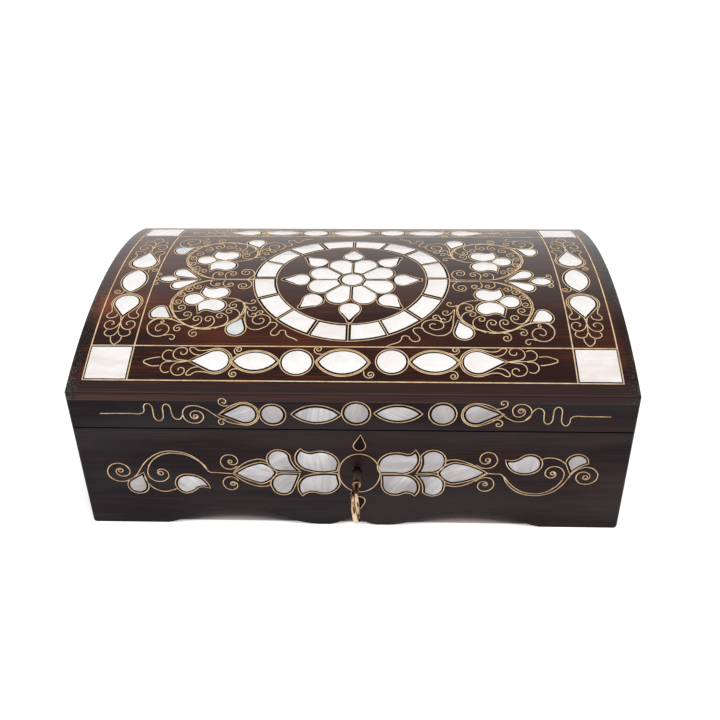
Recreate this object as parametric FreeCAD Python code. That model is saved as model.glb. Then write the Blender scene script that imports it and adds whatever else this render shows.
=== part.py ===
import FreeCAD, Part
import math
import os

# Inlaid wooden box with a domed hinged lid, a box lock and its key.
# Millimetres, +Z up. +X runs to the right as seen from the front, the front face looks to -Y.
# Drawn about the middle of the case, then moved so that the origin is the middle of the whole,
# key included, on the table.

V = FreeCAD.Vector

# Case
LENGTH = 250.0
DEPTH = 160.0
WALL = 9.0
BODY_TOP = 57.3
CORNER_R = 1.2
FOOT_R = 2.0
BASE_Z = 12.0
BASE_T = 4.0
GROOVE = 4.0

# Lid
LID_BOTTOM = 57.6
EDGE_TOP = 76.5
CROWN_TOP = 91.0
SHEET = 3.6
DOME_RISE = CROWN_TOP - EDGE_TOP
DOME_R = ((DEPTH / 2) ** 2 + DOME_RISE ** 2) / (2 * DOME_RISE)
DOME_Z = CROWN_TOP - DOME_R

# Apron: each curve is given by the points that its arcs run through
ARCH = [(88.5, -1), (88.5, 0), (82.75, 1.65, 77.3, 4.1), (54.5, 9.6, 31.7, 4.1),
        (24.3, 1.26, 16.5, 0), (16.5, -1)]
END_ARCH = [(46, -1), (46, 0), (38.1, 1.6, 30, 4.1), (0, 9.6, -30, 4.1), (-38.1, 1.6, -46, 0), (-46, -1)]
NOTCH = [(11.5, -1), (11.5, 0), (5.4, 2.2, 0, 8.5), (-5.4, 2.2, -11.5, 0), (-11.5, -1)]

# Velvet lining
VELVET = 1.0
VELVET_TOP = 51.5

# Hinges: the pin lies in a groove whose two sides meet and stop the lid
HINGE_X = 70.0
HINGE_Y = 76.0
HINGE_Z = 57.45
STOP_ANGLE = 52.0
HINGE_LEN = 30.0
LEAF_T = 1.0
LEAF_Y = 71.4
KNUCKLE_R = 1.9
KNUCKLE_GAP = 0.3
PIN_R = 0.8
RUNNING_GAP = 0.05
GAIN_R = 2.3

# Lock
KEY_X = 2.5
KEY_Z = 33.8
LOCK_HALF = 16.0
PLATE_HALF = 20.0
PLATE_T = 1.2
PLATE_Z = 22.0
CASE_Z = 24.0
CASE_WALL = 1.0
CASE_Y = -77.5
COVER_T = 0.8
CRANK_R = 4.5
CRANK_PIN_R = 0.9
STAPLES = (-4.5, 8.5)
STAPLE_Z = 48.2
THROW = 2 * CRANK_R * math.sin(math.radians(45))

# Key
SHAFT_R = 1.6
SHAFT_OUT = 8.1
COLLAR_LEN = 2.2
COLLAR_R = 2.0
NECK_LEN = 6.5
NECK_R = 1.3
BOW_R = 7.5
BOW_WIRE = 2.0
BOW_TWIST = 9.0

# Inlay: slips of mother-of-pearl and brass lines between them
PEARL_T = 0.4
SAW = 0.19
WIRE_T = 0.3
WIRE_W = 0.8

FRONT = -DEPTH / 2
BACK = DEPTH / 2
HALF = LENGTH / 2
INNER_X = HALF - WALL
INNER_Y = BACK - WALL


def box(x0, x1, y0, y1, z0, z1):
    """Block between two corners."""
    return Part.makeBox(x1 - x0, y1 - y0, z1 - z0, V(x0, y0, z0))


def rod(radius, x0, x1, y, z):
    """Cylinder along X."""
    return Part.makeCylinder(radius, x1 - x0, V(x0, y, z), V(1, 0, 0))


def rod_y(radius, y0, y1, x, z):
    """Cylinder along Y."""
    return Part.makeCylinder(radius, y1 - y0, V(x, y0, z), V(0, 1, 0))


def face_of(path):
    """Flat face inside a closed path: pairs are lines, fours are arcs through a middle point."""
    edges = []
    here = V(path[0][0], path[0][1], 0)
    for step in path[1:]:
        there = V(step[-2], step[-1], 0)
        if len(step) == 4:
            edges.append(Part.Arc(here, V(step[0], step[1], 0), there).toShape())
        else:
            edges.append(Part.makeLine(here, there))
        here = there
    start = V(path[0][0], path[0][1], 0)
    if here.distanceToPoint(start) > 1e-6:
        edges.append(Part.makeLine(here, start))
    return Part.Face(Part.Wire(edges))


def prism(path, z0, z1):
    """Upright prism on a path drawn in plan."""
    solid = face_of(path).extrude(V(0, 0, z1 - z0))
    if solid.Volume < 0:
        solid.reverse()
    solid.translate(V(0, 0, z0))
    return solid


def prism_y(path, y0, y1):
    """Prism along Y on a path drawn in x and z."""
    solid = prism(path, -y1, -y0)
    solid.rotate(V(0, 0, 0), V(1, 0, 0), 90)
    return solid


def prism_x(path, x0, x1):
    """Prism along X on a path drawn in y and z."""
    solid = prism(path, x0, x1)
    solid.rotate(V(0, 0, 0), V(1, 1, 1), 120)
    return solid


def joined(first, *others):
    """One solid out of overlapping ones."""
    return first.fuse(list(others)).removeSplitter()


# Outlines of the slips of mother-of-pearl


def scaled(path, du, dv, su=1.0, sv=1.0):
    """Path stretched or mirrored about its own origin, then moved."""
    out = []
    for step in path:
        moved = []
        for i, value in enumerate(step):
            moved.append(du + su * value if i % 2 == 0 else dv + sv * value)
        out.append(tuple(moved))
    return out


def turned(path, degrees):
    """Path turned about its own origin."""
    c = math.cos(math.radians(degrees))
    s = math.sin(math.radians(degrees))
    out = []
    for step in path:
        moved = []
        for i in range(0, len(step), 2):
            moved += [c * step[i] - s * step[i + 1], s * step[i] + c * step[i + 1]]
        out.append(tuple(moved))
    return out


def disc(u, v, r):
    """Round piece."""
    return scaled([(-r, 0), (0, r, r, 0), (0, -r, -r, 0)], u, v)


def almond(u, v, a, b):
    """Two arcs between two points: half-length a along u, half-width b."""
    return scaled([(-a, 0), (0, b, a, 0), (0, -b, -a, 0)], u, v)


def drop(u, v, r, tip_u, tip_v):
    """Round end of radius r with straight sides that run to a tip."""
    reach = math.hypot(tip_u - u, tip_v - v)
    lean = math.degrees(math.atan2(tip_v - v, tip_u - u))
    x = r * r / reach
    y = r * math.sqrt(1 - (r / reach) ** 2)
    return scaled(turned([(reach, 0), (x, y), (-r, 0, x, -y), (reach, 0)], lean), u, v)


def square(u, v, half):
    """Square piece."""
    return scaled([(-half, -half), (half, -half), (half, half), (-half, half)], u, v)


def ring_piece(u, v, r0, r1, middle, gap):
    """One of the sixteen pieces of the medallion's ring, with a gap for the wire between."""
    path = []
    half = math.radians(11.25)
    inner = half - gap / r0
    outer = half - gap / r1
    path.append((r0 * math.cos(inner), -r0 * math.sin(inner)))
    path.append((r1 * math.cos(outer), -r1 * math.sin(outer)))
    path.append((r1, 0, r1 * math.cos(outer), r1 * math.sin(outer)))
    path.append((r0 * math.cos(inner), r0 * math.sin(inner)))
    path.append((r0, 0, path[0][0], path[0][1]))
    return scaled(turned(path, middle), u, v)


# Rosette: a petal and a leaf drawn along +u from the rosette's centre
PETAL = [(6.9, -1.8), (15.8, -5.4), (21.5, 0, 15.8, 5.4), (6.9, 1.8)]
LEAF = [(20.6, 0), (24.2, -4.2, 28.0, -2.9), (32.6, 0), (28.0, 2.9), (24.2, 4.2, 20.6, 0)]

# Scroll panel, one quarter of it, measured from the panel's stem and the pattern's axis
KIDNEY = [(-6.4, 0), (-5.4, 4.6), (-2.6, 2.9, 0.8, 3.7), (6.1, 1.6, 4.4, -3.4), (-1.6, -4.6, -6.4, 0)]
BUD = [(4.7, -3.7), (-3.4, -3.7), (-4.8, -1.0, -3.6, 2.2), (-1.4, 4.2, 1.2, 3.6)]
QUARTER = [
    scaled(KIDNEY, -65.6, -11.9),
    scaled(KIDNEY, -65.8, -22.4, 1, -1),
    drop(-75.2, -17.2, 4.2, -69.6, -17.0),
    scaled(BUD, -88.7, -27.8),
    drop(-52.3, -38.8, 4.0, -50.2, -32.0),
    drop(-84.6, -5.4, 3.1, -75.6, -0.7),
]
# Where the four quarters lie: mirror of u, stretch of s, stem height
PLACES = [(1, 1.0, -4.7), (-1, 1.02, -5.5), (1, -1.19, -4.7), (-1, -1.17, -4.7)]
AXIS_U = -1.6

# Long border: drops, almonds and discs in a row, given with their distance from the row's middle
ROW = [
    drop(-60.6, 0.2, 5.7, -71.6, 0.0),
    almond(-43.0, 0.0, 9.4, 5.0),
    disc(-24.3, -0.2, 6.7),
    almond(-3.9, -0.2, 10.6, 6.4),
    disc(18.0, 0.5, 6.5),
    almond(36.7, 0.3, 9.9, 5.4),
    drop(55.8, 0.2, 6.1, 67.9, 0.6),
]
ROW_S = 63.6
CORNER_U = 108.4
CORNER_S = 64.6
CORNER_HALF = 9.2
OUTER_U = 118.3
INNER_U = 98.6
OUTER_S = 74.5
INNER_S = 54.6

# Short borders
SIDES = [
    drop(-107.9, -25.2, 5.6, -108.0, -35.0),
    turned(almond(-5.9, 108.6, 10.2, 5.6), 90),
    drop(-107.8, 12.6, 6.0, -107.7, 25.2),
    drop(107.4, -23.7, 6.0, 107.1, -34.3),
    turned(almond(-3.4, -107.2, 10.2, 5.6), 90),
    drop(107.5, 16.2, 5.9, 107.6, 28.8),
]

# Medallion
RING = (-2.1, -3.2)
RING_IN = 37.4
RING_OUT = 47.0
RING_WIRE_IN = 36.6
RING_WIRE_OUT = 47.9
ROSETTE = (-1.8, -4.4)

# Lid front edge, in x and z
EDGE_ROW = [
    drop(-46.6, 66.0, 4.7, -56.4, 65.6),
    disc(-34.3, 65.7, 4.9),
    almond(-15.1, 66.0, 9.8, 4.1),
    disc(2.5, 66.8, 5.4),
    almond(20.9, 66.8, 9.4, 3.9),
    disc(40.3, 66.8, 5.2),
    drop(54.8, 66.6, 4.7, 65.3, 67.0),
]

# Front face, in x and z: four petals, an almond, a leaf and a drop on each side of the lock
FACE_LEFT = [
    [(-22.9, 45.4), (-20.3, 43.8, -16.5, 44.1), (-9.2, 42.8, -6.4, 38.2), (-7.4, 34.1),
     (-14.5, 33.1, -20.5, 34.5), (-24.9, 39.8, -22.9, 45.4)],
    [(-24.8, 33.4), (-27.6, 37.3, -28.6, 42.0), (-34.9, 44.6, -37.6, 38.6), (-36.0, 35.0, -32.0, 33.3)],
    [(-23.1, 19.2), (-20.2, 21.0, -16.0, 20.8), (-9.2, 21.4, -6.3, 26.0), (-7.2, 31.1),
     (-14.0, 31.3, -20.3, 30.0), (-24.2, 25.0, -23.1, 19.2)],
    [(-24.8, 30.9), (-31.2, 31.1), (-36.2, 27.9, -36.2, 22.5), (-32.2, 19.3, -28.4, 21.3),
     (-26.7, 25.5, -24.8, 30.9)],
    almond(-44.6, 31.2, 8.9, 6.1),
    [(-67.2, 23.2), (-70.6, 28.2, -75.5, 29.8), (-81.4, 25.5, -78.0, 19.6), (-75.2, 20.4, -72.6, 22.6),
     (-70.2, 23.6, -67.2, 23.2)],
    drop(-99.8, 23.3, 4.1, -96.9, 30.0),
]
FACE_RIGHT = [
    [(28.9, 45.0), (30.1, 41.0, 28.8, 36.6), (26.2, 33.8, 20.5, 33.1), (13.4, 33.2),
     (13.1, 39.5, 17.2, 43.4), (21.2, 43.9, 25.0, 43.0), (27.3, 43.5, 28.9, 45.0)],
    [(30.9, 33.4), (32.5, 38.2, 32.2, 42.5), (37.5, 45.6, 41.9, 40.5), (40.4, 35.8, 36.5, 33.5)],
    [(28.9, 19.8), (26.5, 21.2, 23.0, 20.8), (17.0, 20.6, 14.4, 25.0), (14.3, 30.9), (23.0, 31.1),
     (28.6, 28.6, 28.9, 19.8)],
    [(30.6, 30.8), (32.8, 27.0, 33.4, 21.5), (38.0, 19.7, 41.7, 24.6), (40.5, 29.5, 35.5, 31.1)],
    almond(50.3, 33.0, 9.9, 6.0),
    [(70.5, 40.2), (74.6, 40.5, 77.4, 42.6), (84.7, 41.4, 83.4, 34.9), (76.4, 33.6, 70.5, 40.2)],
    [(99.3, 34.8), (97.4, 39.6), (101.0, 44.0, 106.0, 39.9), (102.3, 37.8, 99.3, 34.8)],
]


def sawn(path):
    """Path whose arcs are taken in short straight cuts that stay within SAW of the curve."""
    out = [path[0]]
    for step in path[1:]:
        if len(step) == 4:
            here = V(out[-1][0], out[-1][1], 0)
            arc = Part.Arc(here, V(step[0], step[1], 0), V(step[2], step[3], 0)).toShape()
            cut = 2 * math.acos(1 - SAW / arc.Curve.Radius)
            count = math.ceil(arc.Length / arc.Curve.Radius / cut)
            out += [(p.x, p.y) for p in arc.discretize(count + 1)[1:]]
        else:
            out.append(step)
    return out


def on_dome(path):
    """Slip laid on the dome: u runs along X and s along the arc from the crown to the back."""
    points = sawn(path)
    u = (min(p[0] for p in points) + max(p[0] for p in points)) / 2
    s = (min(p[1] for p in points) + max(p[1] for p in points)) / 2
    bend = s / DOME_R
    solid = prism(scaled(points, -u, -s), 0, PEARL_T)
    solid.rotate(V(0, 0, 0), V(1, 0, 0), -math.degrees(bend))
    solid.translate(V(u, DOME_R * math.sin(bend), DOME_Z + DOME_R * math.cos(bend)))
    return solid


def on_front(path):
    """Slip laid on a flat front, drawn in x and z."""
    return prism_y(sawn(path), FRONT - PEARL_T, FRONT)


def shell(thickness):
    """Thin layer over the whole dome."""
    layer = rod(DOME_R + thickness, -HALF, HALF, 0, DOME_Z).cut(rod(DOME_R, -HALF, HALF, 0, DOME_Z))
    return layer.common(box(-HALF, HALF, FRONT, BACK, LID_BOTTOM, CROWN_TOP + 1))


def across(s):
    """Where a point at s along the arc lies in y."""
    return DOME_R * math.sin(s / DOME_R)


nodes = {}

# Case panels: mitred at the corners, with the base held in grooves

envelope = box(-HALF, HALF, FRONT, BACK, 0, CROWN_TOP)
uprights = [e for e in envelope.Edges if abs(e.Vertexes[0].Z - e.Vertexes[1].Z) > 1]
envelope = envelope.makeFillet(CORNER_R, uprights)
k = FOOT_R * (1 - math.sqrt(0.5))
footing = prism_y(
    [(-HALF, CROWN_TOP), (-HALF, FOOT_R), (-HALF + k, k, -HALF + FOOT_R, 0), (HALF - FOOT_R, 0),
     (HALF - k, k, HALF, FOOT_R), (HALF, CROWN_TOP)],
    FRONT, BACK)
envelope = envelope.common(footing)

long_plan = [(-HALF, FRONT), (HALF, FRONT), (INNER_X, FRONT + WALL), (-INNER_X, FRONT + WALL)]
short_plan = [(HALF, FRONT), (HALF, BACK), (INNER_X, BACK - WALL), (INNER_X, FRONT + WALL)]
plans = {
    "front": long_plan,
    "back": scaled(long_plan, 0, 0, 1, -1),
    "right_end": short_plan,
    "left_end": scaled(short_plan, 0, 0, -1, 1),
}

slope = math.tan(math.radians(STOP_ANGLE))
rise = (BACK + 1 - HINGE_Y) * slope
body_stop = prism_x([(HINGE_Y, HINGE_Z), (BACK + 1, HINGE_Z - rise), (BACK + 1, HINGE_Z)], -HALF, HALF)
lid_stop = prism_x([(HINGE_Y, HINGE_Z), (BACK + 1, HINGE_Z), (BACK + 1, HINGE_Z + rise)], -HALF, HALF)
relief = rod(0.7, -HALF, HALF, HINGE_Y, HINGE_Z)

floor_x = INNER_X + GROOVE
floor_y = INNER_Y + GROOVE
base = box(-floor_x, floor_x, -floor_y, floor_y, BASE_Z, BASE_Z + BASE_T)
nodes["base_panel"] = base

long_cuts = [ARCH, scaled(ARCH, 0, 0, -1, 1), NOTCH]
aprons = {
    "front": [prism_y(path, FRONT, 0) for path in long_cuts],
    "back": [prism_y(path, 0, BACK) for path in long_cuts],
    "right_end": [prism_x(END_ARCH, 0, HALF)],
    "left_end": [prism_x(END_ARCH, -HALF, 0)],
}
panels = {}
for side, plan in plans.items():
    panel = prism(plan, 0, BODY_TOP).common(envelope)
    panels[side] = panel.cut([base, body_stop, relief] + aprons[side])

# Velvet lining: a floor, four walls and the inside of the crown

floor_z = BASE_Z + BASE_T
wall_in = INNER_Y - VELVET
end_in = INNER_X - VELVET
nodes["velvet_floor"] = box(-end_in, end_in, -wall_in, wall_in, floor_z, floor_z + VELVET)
nodes["velvet_back"] = box(-INNER_X, INNER_X, wall_in, INNER_Y, floor_z, VELVET_TOP)
nodes["velvet_right"] = box(end_in, INNER_X, -wall_in, wall_in, floor_z, VELVET_TOP)
nodes["velvet_left"] = box(-INNER_X, -end_in, -wall_in, wall_in, floor_z, VELVET_TOP)
velvet_front = box(-INNER_X, INNER_X, -INNER_Y, -wall_in, floor_z, VELVET_TOP)
around_lock = box(KEY_X - PLATE_HALF - 0.5, KEY_X + PLATE_HALF + 0.5, FRONT, 0, PLATE_Z - 0.5, BODY_TOP)
nodes["velvet_front"] = velvet_front.cut(around_lock)

# Lid frame: four mitred rails under a bent sheet

under = rod(DOME_R - SHEET, -HALF, HALF, 0, DOME_Z)
rails = {}
for side, plan in plans.items():
    rail = prism(plan, LID_BOTTOM, CROWN_TOP).common(envelope).common(under)
    rails[side] = rail.cut([lid_stop, relief])
over = rod(DOME_R, -HALF, HALF, 0, DOME_Z)
sheet = over.cut(under).common(envelope).common(box(-HALF, HALF, FRONT, BACK, LID_BOTTOM, CROWN_TOP + 1))
ceiling = under.cut(rod(DOME_R - SHEET - VELVET, -HALF, HALF, 0, DOME_Z))
nodes["velvet_lid"] = ceiling.common(box(-INNER_X, INNER_X, -INNER_Y, INNER_Y, LID_BOTTOM, CROWN_TOP))

# Hinges: two butt hinges let into the back edges

body_leaves = []
lid_leaves = []
pins = []
half_len = HINGE_LEN / 2
middle = HINGE_LEN / 6
for side in (-1, 1):
    x = side * HINGE_X
    x0 = x - half_len
    x1 = x + half_len
    low = box(x0, x1, LEAF_Y, HINGE_Y, BODY_TOP - LEAF_T, BODY_TOP)
    high = box(x0, x1, LEAF_Y, HINGE_Y, LID_BOTTOM, LID_BOTTOM + LEAF_T)
    inner = (x - middle + KNUCKLE_GAP / 2, x + middle - KNUCKLE_GAP / 2)
    outer = [(x0, x - middle - KNUCKLE_GAP / 2), (x + middle + KNUCKLE_GAP / 2, x1)]
    for_lid = rod(GAIN_R, x - middle, x + middle, HINGE_Y, HINGE_Z)
    for_body = [rod(GAIN_R, a - 0.3, b + 0.15, HINGE_Y, HINGE_Z) for a, b in outer[:1]]
    for_body += [rod(GAIN_R, a - 0.15, b + 0.3, HINGE_Y, HINGE_Z) for a, b in outer[1:]]
    gain = rod(GAIN_R, x0 - 0.3, x1 + 0.3, HINGE_Y, HINGE_Z)
    knuckles = [rod(KNUCKLE_R, a, b, HINGE_Y, HINGE_Z) for a, b in outer]
    pin = rod(PIN_R, x0, x1, HINGE_Y, HINGE_Z)
    bore = rod(PIN_R + RUNNING_GAP, x0, x1, HINGE_Y, HINGE_Z)
    low_leaf = joined(low.cut(for_lid), *knuckles).cut(pin)
    high_leaf = joined(high.cut(for_body), rod(KNUCKLE_R, inner[0], inner[1], HINGE_Y, HINGE_Z)).cut(bore)
    body_leaves.append(low_leaf)
    lid_leaves.append(high_leaf)
    pins.append(pin)
    panels["back"] = panels["back"].cut([low, gain])
    rails["back"] = rails["back"].cut([high, gain])
nodes["hinge_leaves_body"] = Part.makeCompound(body_leaves)
nodes["hinge_leaves_lid"] = Part.makeCompound(lid_leaves)
nodes["hinge_pins"] = Part.makeCompound(pins)

# Lock: case let into the inside of the front, a turning follower, and a bolt that it slides

inside = FRONT + WALL
plate_y = inside - PLATE_T
selvedge_z = BODY_TOP - PLATE_T
room = LOCK_HALF - CASE_WALL
plate = box(KEY_X - PLATE_HALF, KEY_X + PLATE_HALF, plate_y, inside, PLATE_Z, BODY_TOP)
selvedge = box(KEY_X - PLATE_HALF, KEY_X + PLATE_HALF, CASE_Y, inside, selvedge_z, BODY_TOP)
rim = box(KEY_X - LOCK_HALF, KEY_X + LOCK_HALF, CASE_Y, plate_y, CASE_Z, selvedge_z)
hollow = box(KEY_X - room, KEY_X + room, CASE_Y, plate_y, CASE_Z + CASE_WALL, selvedge_z)
mortise = [plate, selvedge, rim]
ledges = []
for a, b in ((-room, -7.2), (7.2, room)):
    ledges.append(box(KEY_X + a, KEY_X + b, -75.2, plate_y, 42.4, 43.7))
slots = []
for dx in STAPLES:
    slots.append(box(KEY_X + dx - 1.3, KEY_X + dx + 1.3, -76.9, -72.2, selvedge_z, BODY_TOP))
follower_y = -73.8
journal = rod_y(2.6 + RUNNING_GAP, plate_y, inside, KEY_X, KEY_Z)
case = joined(plate, selvedge, rim.cut(hollow), *ledges)
nodes["lock_case"] = case.cut(slots + [journal])

cover_y = CASE_Y + COVER_T
keyhole = joined(
    rod_y(2.3, FRONT, cover_y, KEY_X, KEY_Z),
    box(KEY_X - 1.3, KEY_X + 1.3, FRONT, cover_y, KEY_Z - 5.6, KEY_Z))
cover = box(KEY_X - room, KEY_X + room, CASE_Y, cover_y, CASE_Z + CASE_WALL, selvedge_z)
nodes["lock_cover"] = cover.cut(keyhole)
panels["front"] = panels["front"].cut(mortise + [keyhole])

arm = box(KEY_X - 3.0, KEY_X + 3.0, cover_y + 0.2, follower_y, KEY_Z - 6.6, KEY_Z + 3.0)
hub = rod_y(2.6, follower_y, inside - 0.2, KEY_X, KEY_Z)
crank = rod_y(CRANK_PIN_R, follower_y, -72.5, KEY_X - THROW / 2, KEY_Z + THROW / 2)
socket = rod_y(SHAFT_R + RUNNING_GAP, cover_y, -72.6, KEY_X, KEY_Z)
bit_slot = box(KEY_X - 1.1, KEY_X + 1.1, cover_y, follower_y, KEY_Z - 5.3, KEY_Z)
tail = box(KEY_X - 4.4, KEY_X, cover_y + 0.2, follower_y, KEY_Z, KEY_Z + 4.4)
nodes["lock_follower"] = joined(arm, tail, hub, crank).cut([socket, bit_slot])

fork_x = KEY_X - THROW / 2
fork = box(fork_x - 3.4, fork_x + 3.4, -73.5, -72.4, KEY_Z + 2.9, 47.0)
fork = fork.cut(box(fork_x - 1.15, fork_x + 1.15, -74, -72, KEY_Z, KEY_Z + 5.8))
bar = box(KEY_X - 14.0, KEY_X + 6.0, -75.2, -72.4, 43.9, 47.0)
bolt = [bar]
for dx in STAPLES:
    bolt.append(box(KEY_X + dx - 9.5, KEY_X + dx - 7.5, -75.2, -73.6, 46.0, 53.3))
    bolt.append(box(KEY_X + dx - 8.0, KEY_X + dx - 1.4, -75.2, -73.6, 50.4, 53.3))
nodes["lock_bolt"] = joined(fork, *bolt)

strike = [box(KEY_X - 14.0, KEY_X + 14.0, -78.4, -72.0, LID_BOTTOM, LID_BOTTOM + PLATE_T)]
strike_seat = strike[0]
eyes = []
for dx in STAPLES:
    strike.append(box(KEY_X + dx - 0.8, KEY_X + dx + 0.8, -76.1, -72.6, STAPLE_Z, LID_BOTTOM))
    eyes.append(box(KEY_X + dx - 1, KEY_X + dx + 1, -75.5, -73.3, 50.0, 53.7))
nodes["lock_strike"] = joined(*strike).cut(eyes)
rails["front"] = rails["front"].cut(strike_seat)

# Key: round shaft with a bit, a collar, a neck and a ring bow that stands a little twisted

collar_y = FRONT - SHAFT_OUT
neck_y = collar_y - COLLAR_LEN
bow_y = neck_y - NECK_LEN - BOW_R + 0.4
shaft = rod_y(SHAFT_R, collar_y, -72.8, KEY_X, KEY_Z)
bit = box(KEY_X - 0.8, KEY_X + 0.8, -76.3, -74.0, KEY_Z - 4.9, KEY_Z)
collar = rod_y(COLLAR_R, neck_y, collar_y, KEY_X, KEY_Z)
neck = rod_y(NECK_R, neck_y - NECK_LEN, neck_y, KEY_X, KEY_Z)
ring = Part.makeCylinder(BOW_R, BOW_WIRE, V(KEY_X - BOW_WIRE / 2, bow_y, KEY_Z), V(1, 0, 0))
hole = Part.makeCylinder(BOW_R - BOW_WIRE, BOW_WIRE, V(KEY_X - BOW_WIRE / 2, bow_y, KEY_Z), V(1, 0, 0))
bow = ring.cut(hole)
bow.rotate(V(KEY_X, 0, KEY_Z), V(0, 1, 0), -BOW_TWIST)
nodes["key"] = joined(shaft, bit, collar, neck, bow)

# Mother-of-pearl, laid in the pattern's zones

border = []
for sign in (-1, 1):
    for path in ROW:
        border.append(on_dome(scaled(path, 0, sign * ROW_S)))
    for u in (-CORNER_U, CORNER_U):
        border.append(on_dome(square(u, sign * CORNER_S, CORNER_HALF)))
for path in SIDES:
    border.append(on_dome(path))

medallion = [on_dome(disc(ROSETTE[0], ROSETTE[1], 5.3))]
for i in range(16):
    medallion.append(on_dome(ring_piece(RING[0], RING[1], RING_IN, RING_OUT, 11.25 + 22.5 * i, 0.75)))
for i in range(8):
    petal = scaled(turned(PETAL, 22.5 + 45 * i), ROSETTE[0], ROSETTE[1])
    leaf = scaled(turned(LEAF, 45 * i), ROSETTE[0], ROSETTE[1])
    medallion.append(on_dome(petal))
    medallion.append(on_dome(leaf))

scrolls = []
for mirror, stretch, stem in PLACES:
    for path in QUARTER:
        scrolls.append(on_dome(scaled(path, AXIS_U, stem, mirror, stretch)))
scrolls.append(on_dome(almond(-91.9, -4.7, 4.4, 2.3)))
scrolls.append(on_dome(almond(90.2, -5.3, 5.0, 3.2)))

nodes["pearl_lid_border"] = Part.makeCompound(border)
nodes["pearl_lid_medallion"] = Part.makeCompound(medallion)
nodes["pearl_lid_scrolls"] = Part.makeCompound(scrolls)
nodes["pearl_lid_edge"] = Part.makeCompound([on_front(path) for path in EDGE_ROW])
nodes["pearl_front"] = Part.makeCompound([on_front(path) for path in FACE_LEFT + FACE_RIGHT])

# Brass lines: the border's frame and the two rings of the medallion

thin = shell(WIRE_T)
w = WIRE_W / 2
lines = []
for sign in (-1, 1):
    for s in (OUTER_S, INNER_S):
        y = across(sign * s)
        lines.append(thin.common(box(-OUTER_U - w, OUTER_U + w, y - w, y + w, LID_BOTTOM, CROWN_TOP + 1)))
    for u in (OUTER_U, INNER_U):
        y = across(OUTER_S) + w
        lines.append(thin.common(box(sign * u - w, sign * u + w, -y, y, LID_BOTTOM, CROWN_TOP + 1)))
wires = [joined(*lines).Solids[0]]
for r in (RING_WIRE_IN, RING_WIRE_OUT):
    tube = Part.makeCylinder(r + w, CROWN_TOP, V(RING[0], across(RING[1]), LID_BOTTOM))
    tube = tube.cut(Part.makeCylinder(r - w, CROWN_TOP, V(RING[0], across(RING[1]), LID_BOTTOM)))
    wires.append(thin.common(tube).Solids[0])
nodes["wire_lid_lines"] = Part.makeCompound(wires)

for side, panel in panels.items():
    nodes[side + "_panel"] = panel
for side, rail in rails.items():
    nodes["lid_" + side + "_rail"] = rail
nodes["lid_sheet"] = sheet

whole_middle = (BACK + bow_y - BOW_R) / 2

os.makedirs("parts", exist_ok=True)
for name, shape in nodes.items():
    shape.translate(V(0, -whole_middle, 0))
    shape.exportStep("parts/" + name + ".step")
    print(name, len(shape.Solids), shape.isValid(), round(shape.Volume, 1))
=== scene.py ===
"""Looks of an inlaid wooden box: finishes, inlay, lining, fittings, key and studio."""

import logging
import math
from collections.abc import Iterable
from dataclasses import dataclass, field
from enum import Enum

import bmesh
import bpy
from mathutils import Matrix, Vector


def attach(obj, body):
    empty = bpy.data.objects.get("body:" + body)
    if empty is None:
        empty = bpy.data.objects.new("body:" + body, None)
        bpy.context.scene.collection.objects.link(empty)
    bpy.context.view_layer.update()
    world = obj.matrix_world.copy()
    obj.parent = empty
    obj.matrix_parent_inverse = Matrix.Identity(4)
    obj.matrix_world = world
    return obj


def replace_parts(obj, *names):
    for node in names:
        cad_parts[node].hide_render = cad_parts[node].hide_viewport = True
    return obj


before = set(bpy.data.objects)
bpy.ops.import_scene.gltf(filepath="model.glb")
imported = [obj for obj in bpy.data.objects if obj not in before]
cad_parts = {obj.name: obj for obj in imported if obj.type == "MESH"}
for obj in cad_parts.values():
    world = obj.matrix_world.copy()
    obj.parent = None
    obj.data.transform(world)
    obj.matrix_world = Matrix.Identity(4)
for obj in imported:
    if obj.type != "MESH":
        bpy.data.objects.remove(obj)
log = logging.getLogger("inlaid_box")

Point = tuple[float, float]
Line = list[Point]
Path = list[tuple[float, ...]]
Span = tuple[float, float]
Triple = tuple[float, float, float]
Colour = tuple[float, float, float]
Tree = bpy.types.NodeTree
Socket = bpy.types.NodeSocket
Material = bpy.types.Material
Object = bpy.types.Object

# Metres in a millimetre and in half of one
MM = 0.001
HALF_MM = 0.5 * MM

# Sizes in millimetres, in the case's own frame, which lies CASE_Y behind the row frame
CASE_Y = 15.7
HALF_LENGTH = 125.0
HALF_DEPTH = 80.0
FRONT = -HALF_DEPTH
SEAM = 57.45
RISE = 14.5
CROWN_TOP = 91.0
DOME_R = (HALF_DEPTH ** 2 + RISE ** 2) / (2 * RISE)
DOME_Z = CROWN_TOP - DOME_R
SHEET_T = 3.6
LOCK_X = 2.5

# Steps that spread the tints and the shifts of the slips evenly
GOLDEN_SHARE = 0.618034
GOLDEN_TURN = 2.4
FIRST_TINT = 0.21
TINT_RANGE = 0.85

# Where slips on the dome are cut across, so that they can follow it
DOME_CUTS = [-78 + 2.4 * i for i in range(1, 65)]

# How far the ends of the long wires wind in, and by how many points
COIL_TURNS = 0.8
COIL_STEPS = 6


class Body(Enum):
    """Moving bodies of the box."""

    BOX = "box"
    LID = "lid"
    KEY = "key"


class Slot(Enum):
    """Materials of the record."""

    WOOD = "wood"
    PEARL = "pearl"
    BRASS = "brass"
    VELVET = "velvet"


class Ground(Enum):
    """Surfaces that the inlay lies on."""

    DOME = "dome"
    FACE = "face"


class Axis(Enum):
    """Axes that the growth lines of mother-of-pearl turn about."""

    UP = "Z_AXIS"
    DEEP = "Y_AXIS"


class How(Enum):
    """Ways to combine values in a material."""

    TIMES = "MULTIPLY"
    PLUS = "ADD"
    MOST = "MAXIMUM"
    LEAST = "MINIMUM"
    SIZE = "ABSOLUTE"


def deep(y: float) -> float:
    """Depth in the row frame, in metres, of a depth in the case's frame."""
    return (CASE_Y + y) * MM


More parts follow.
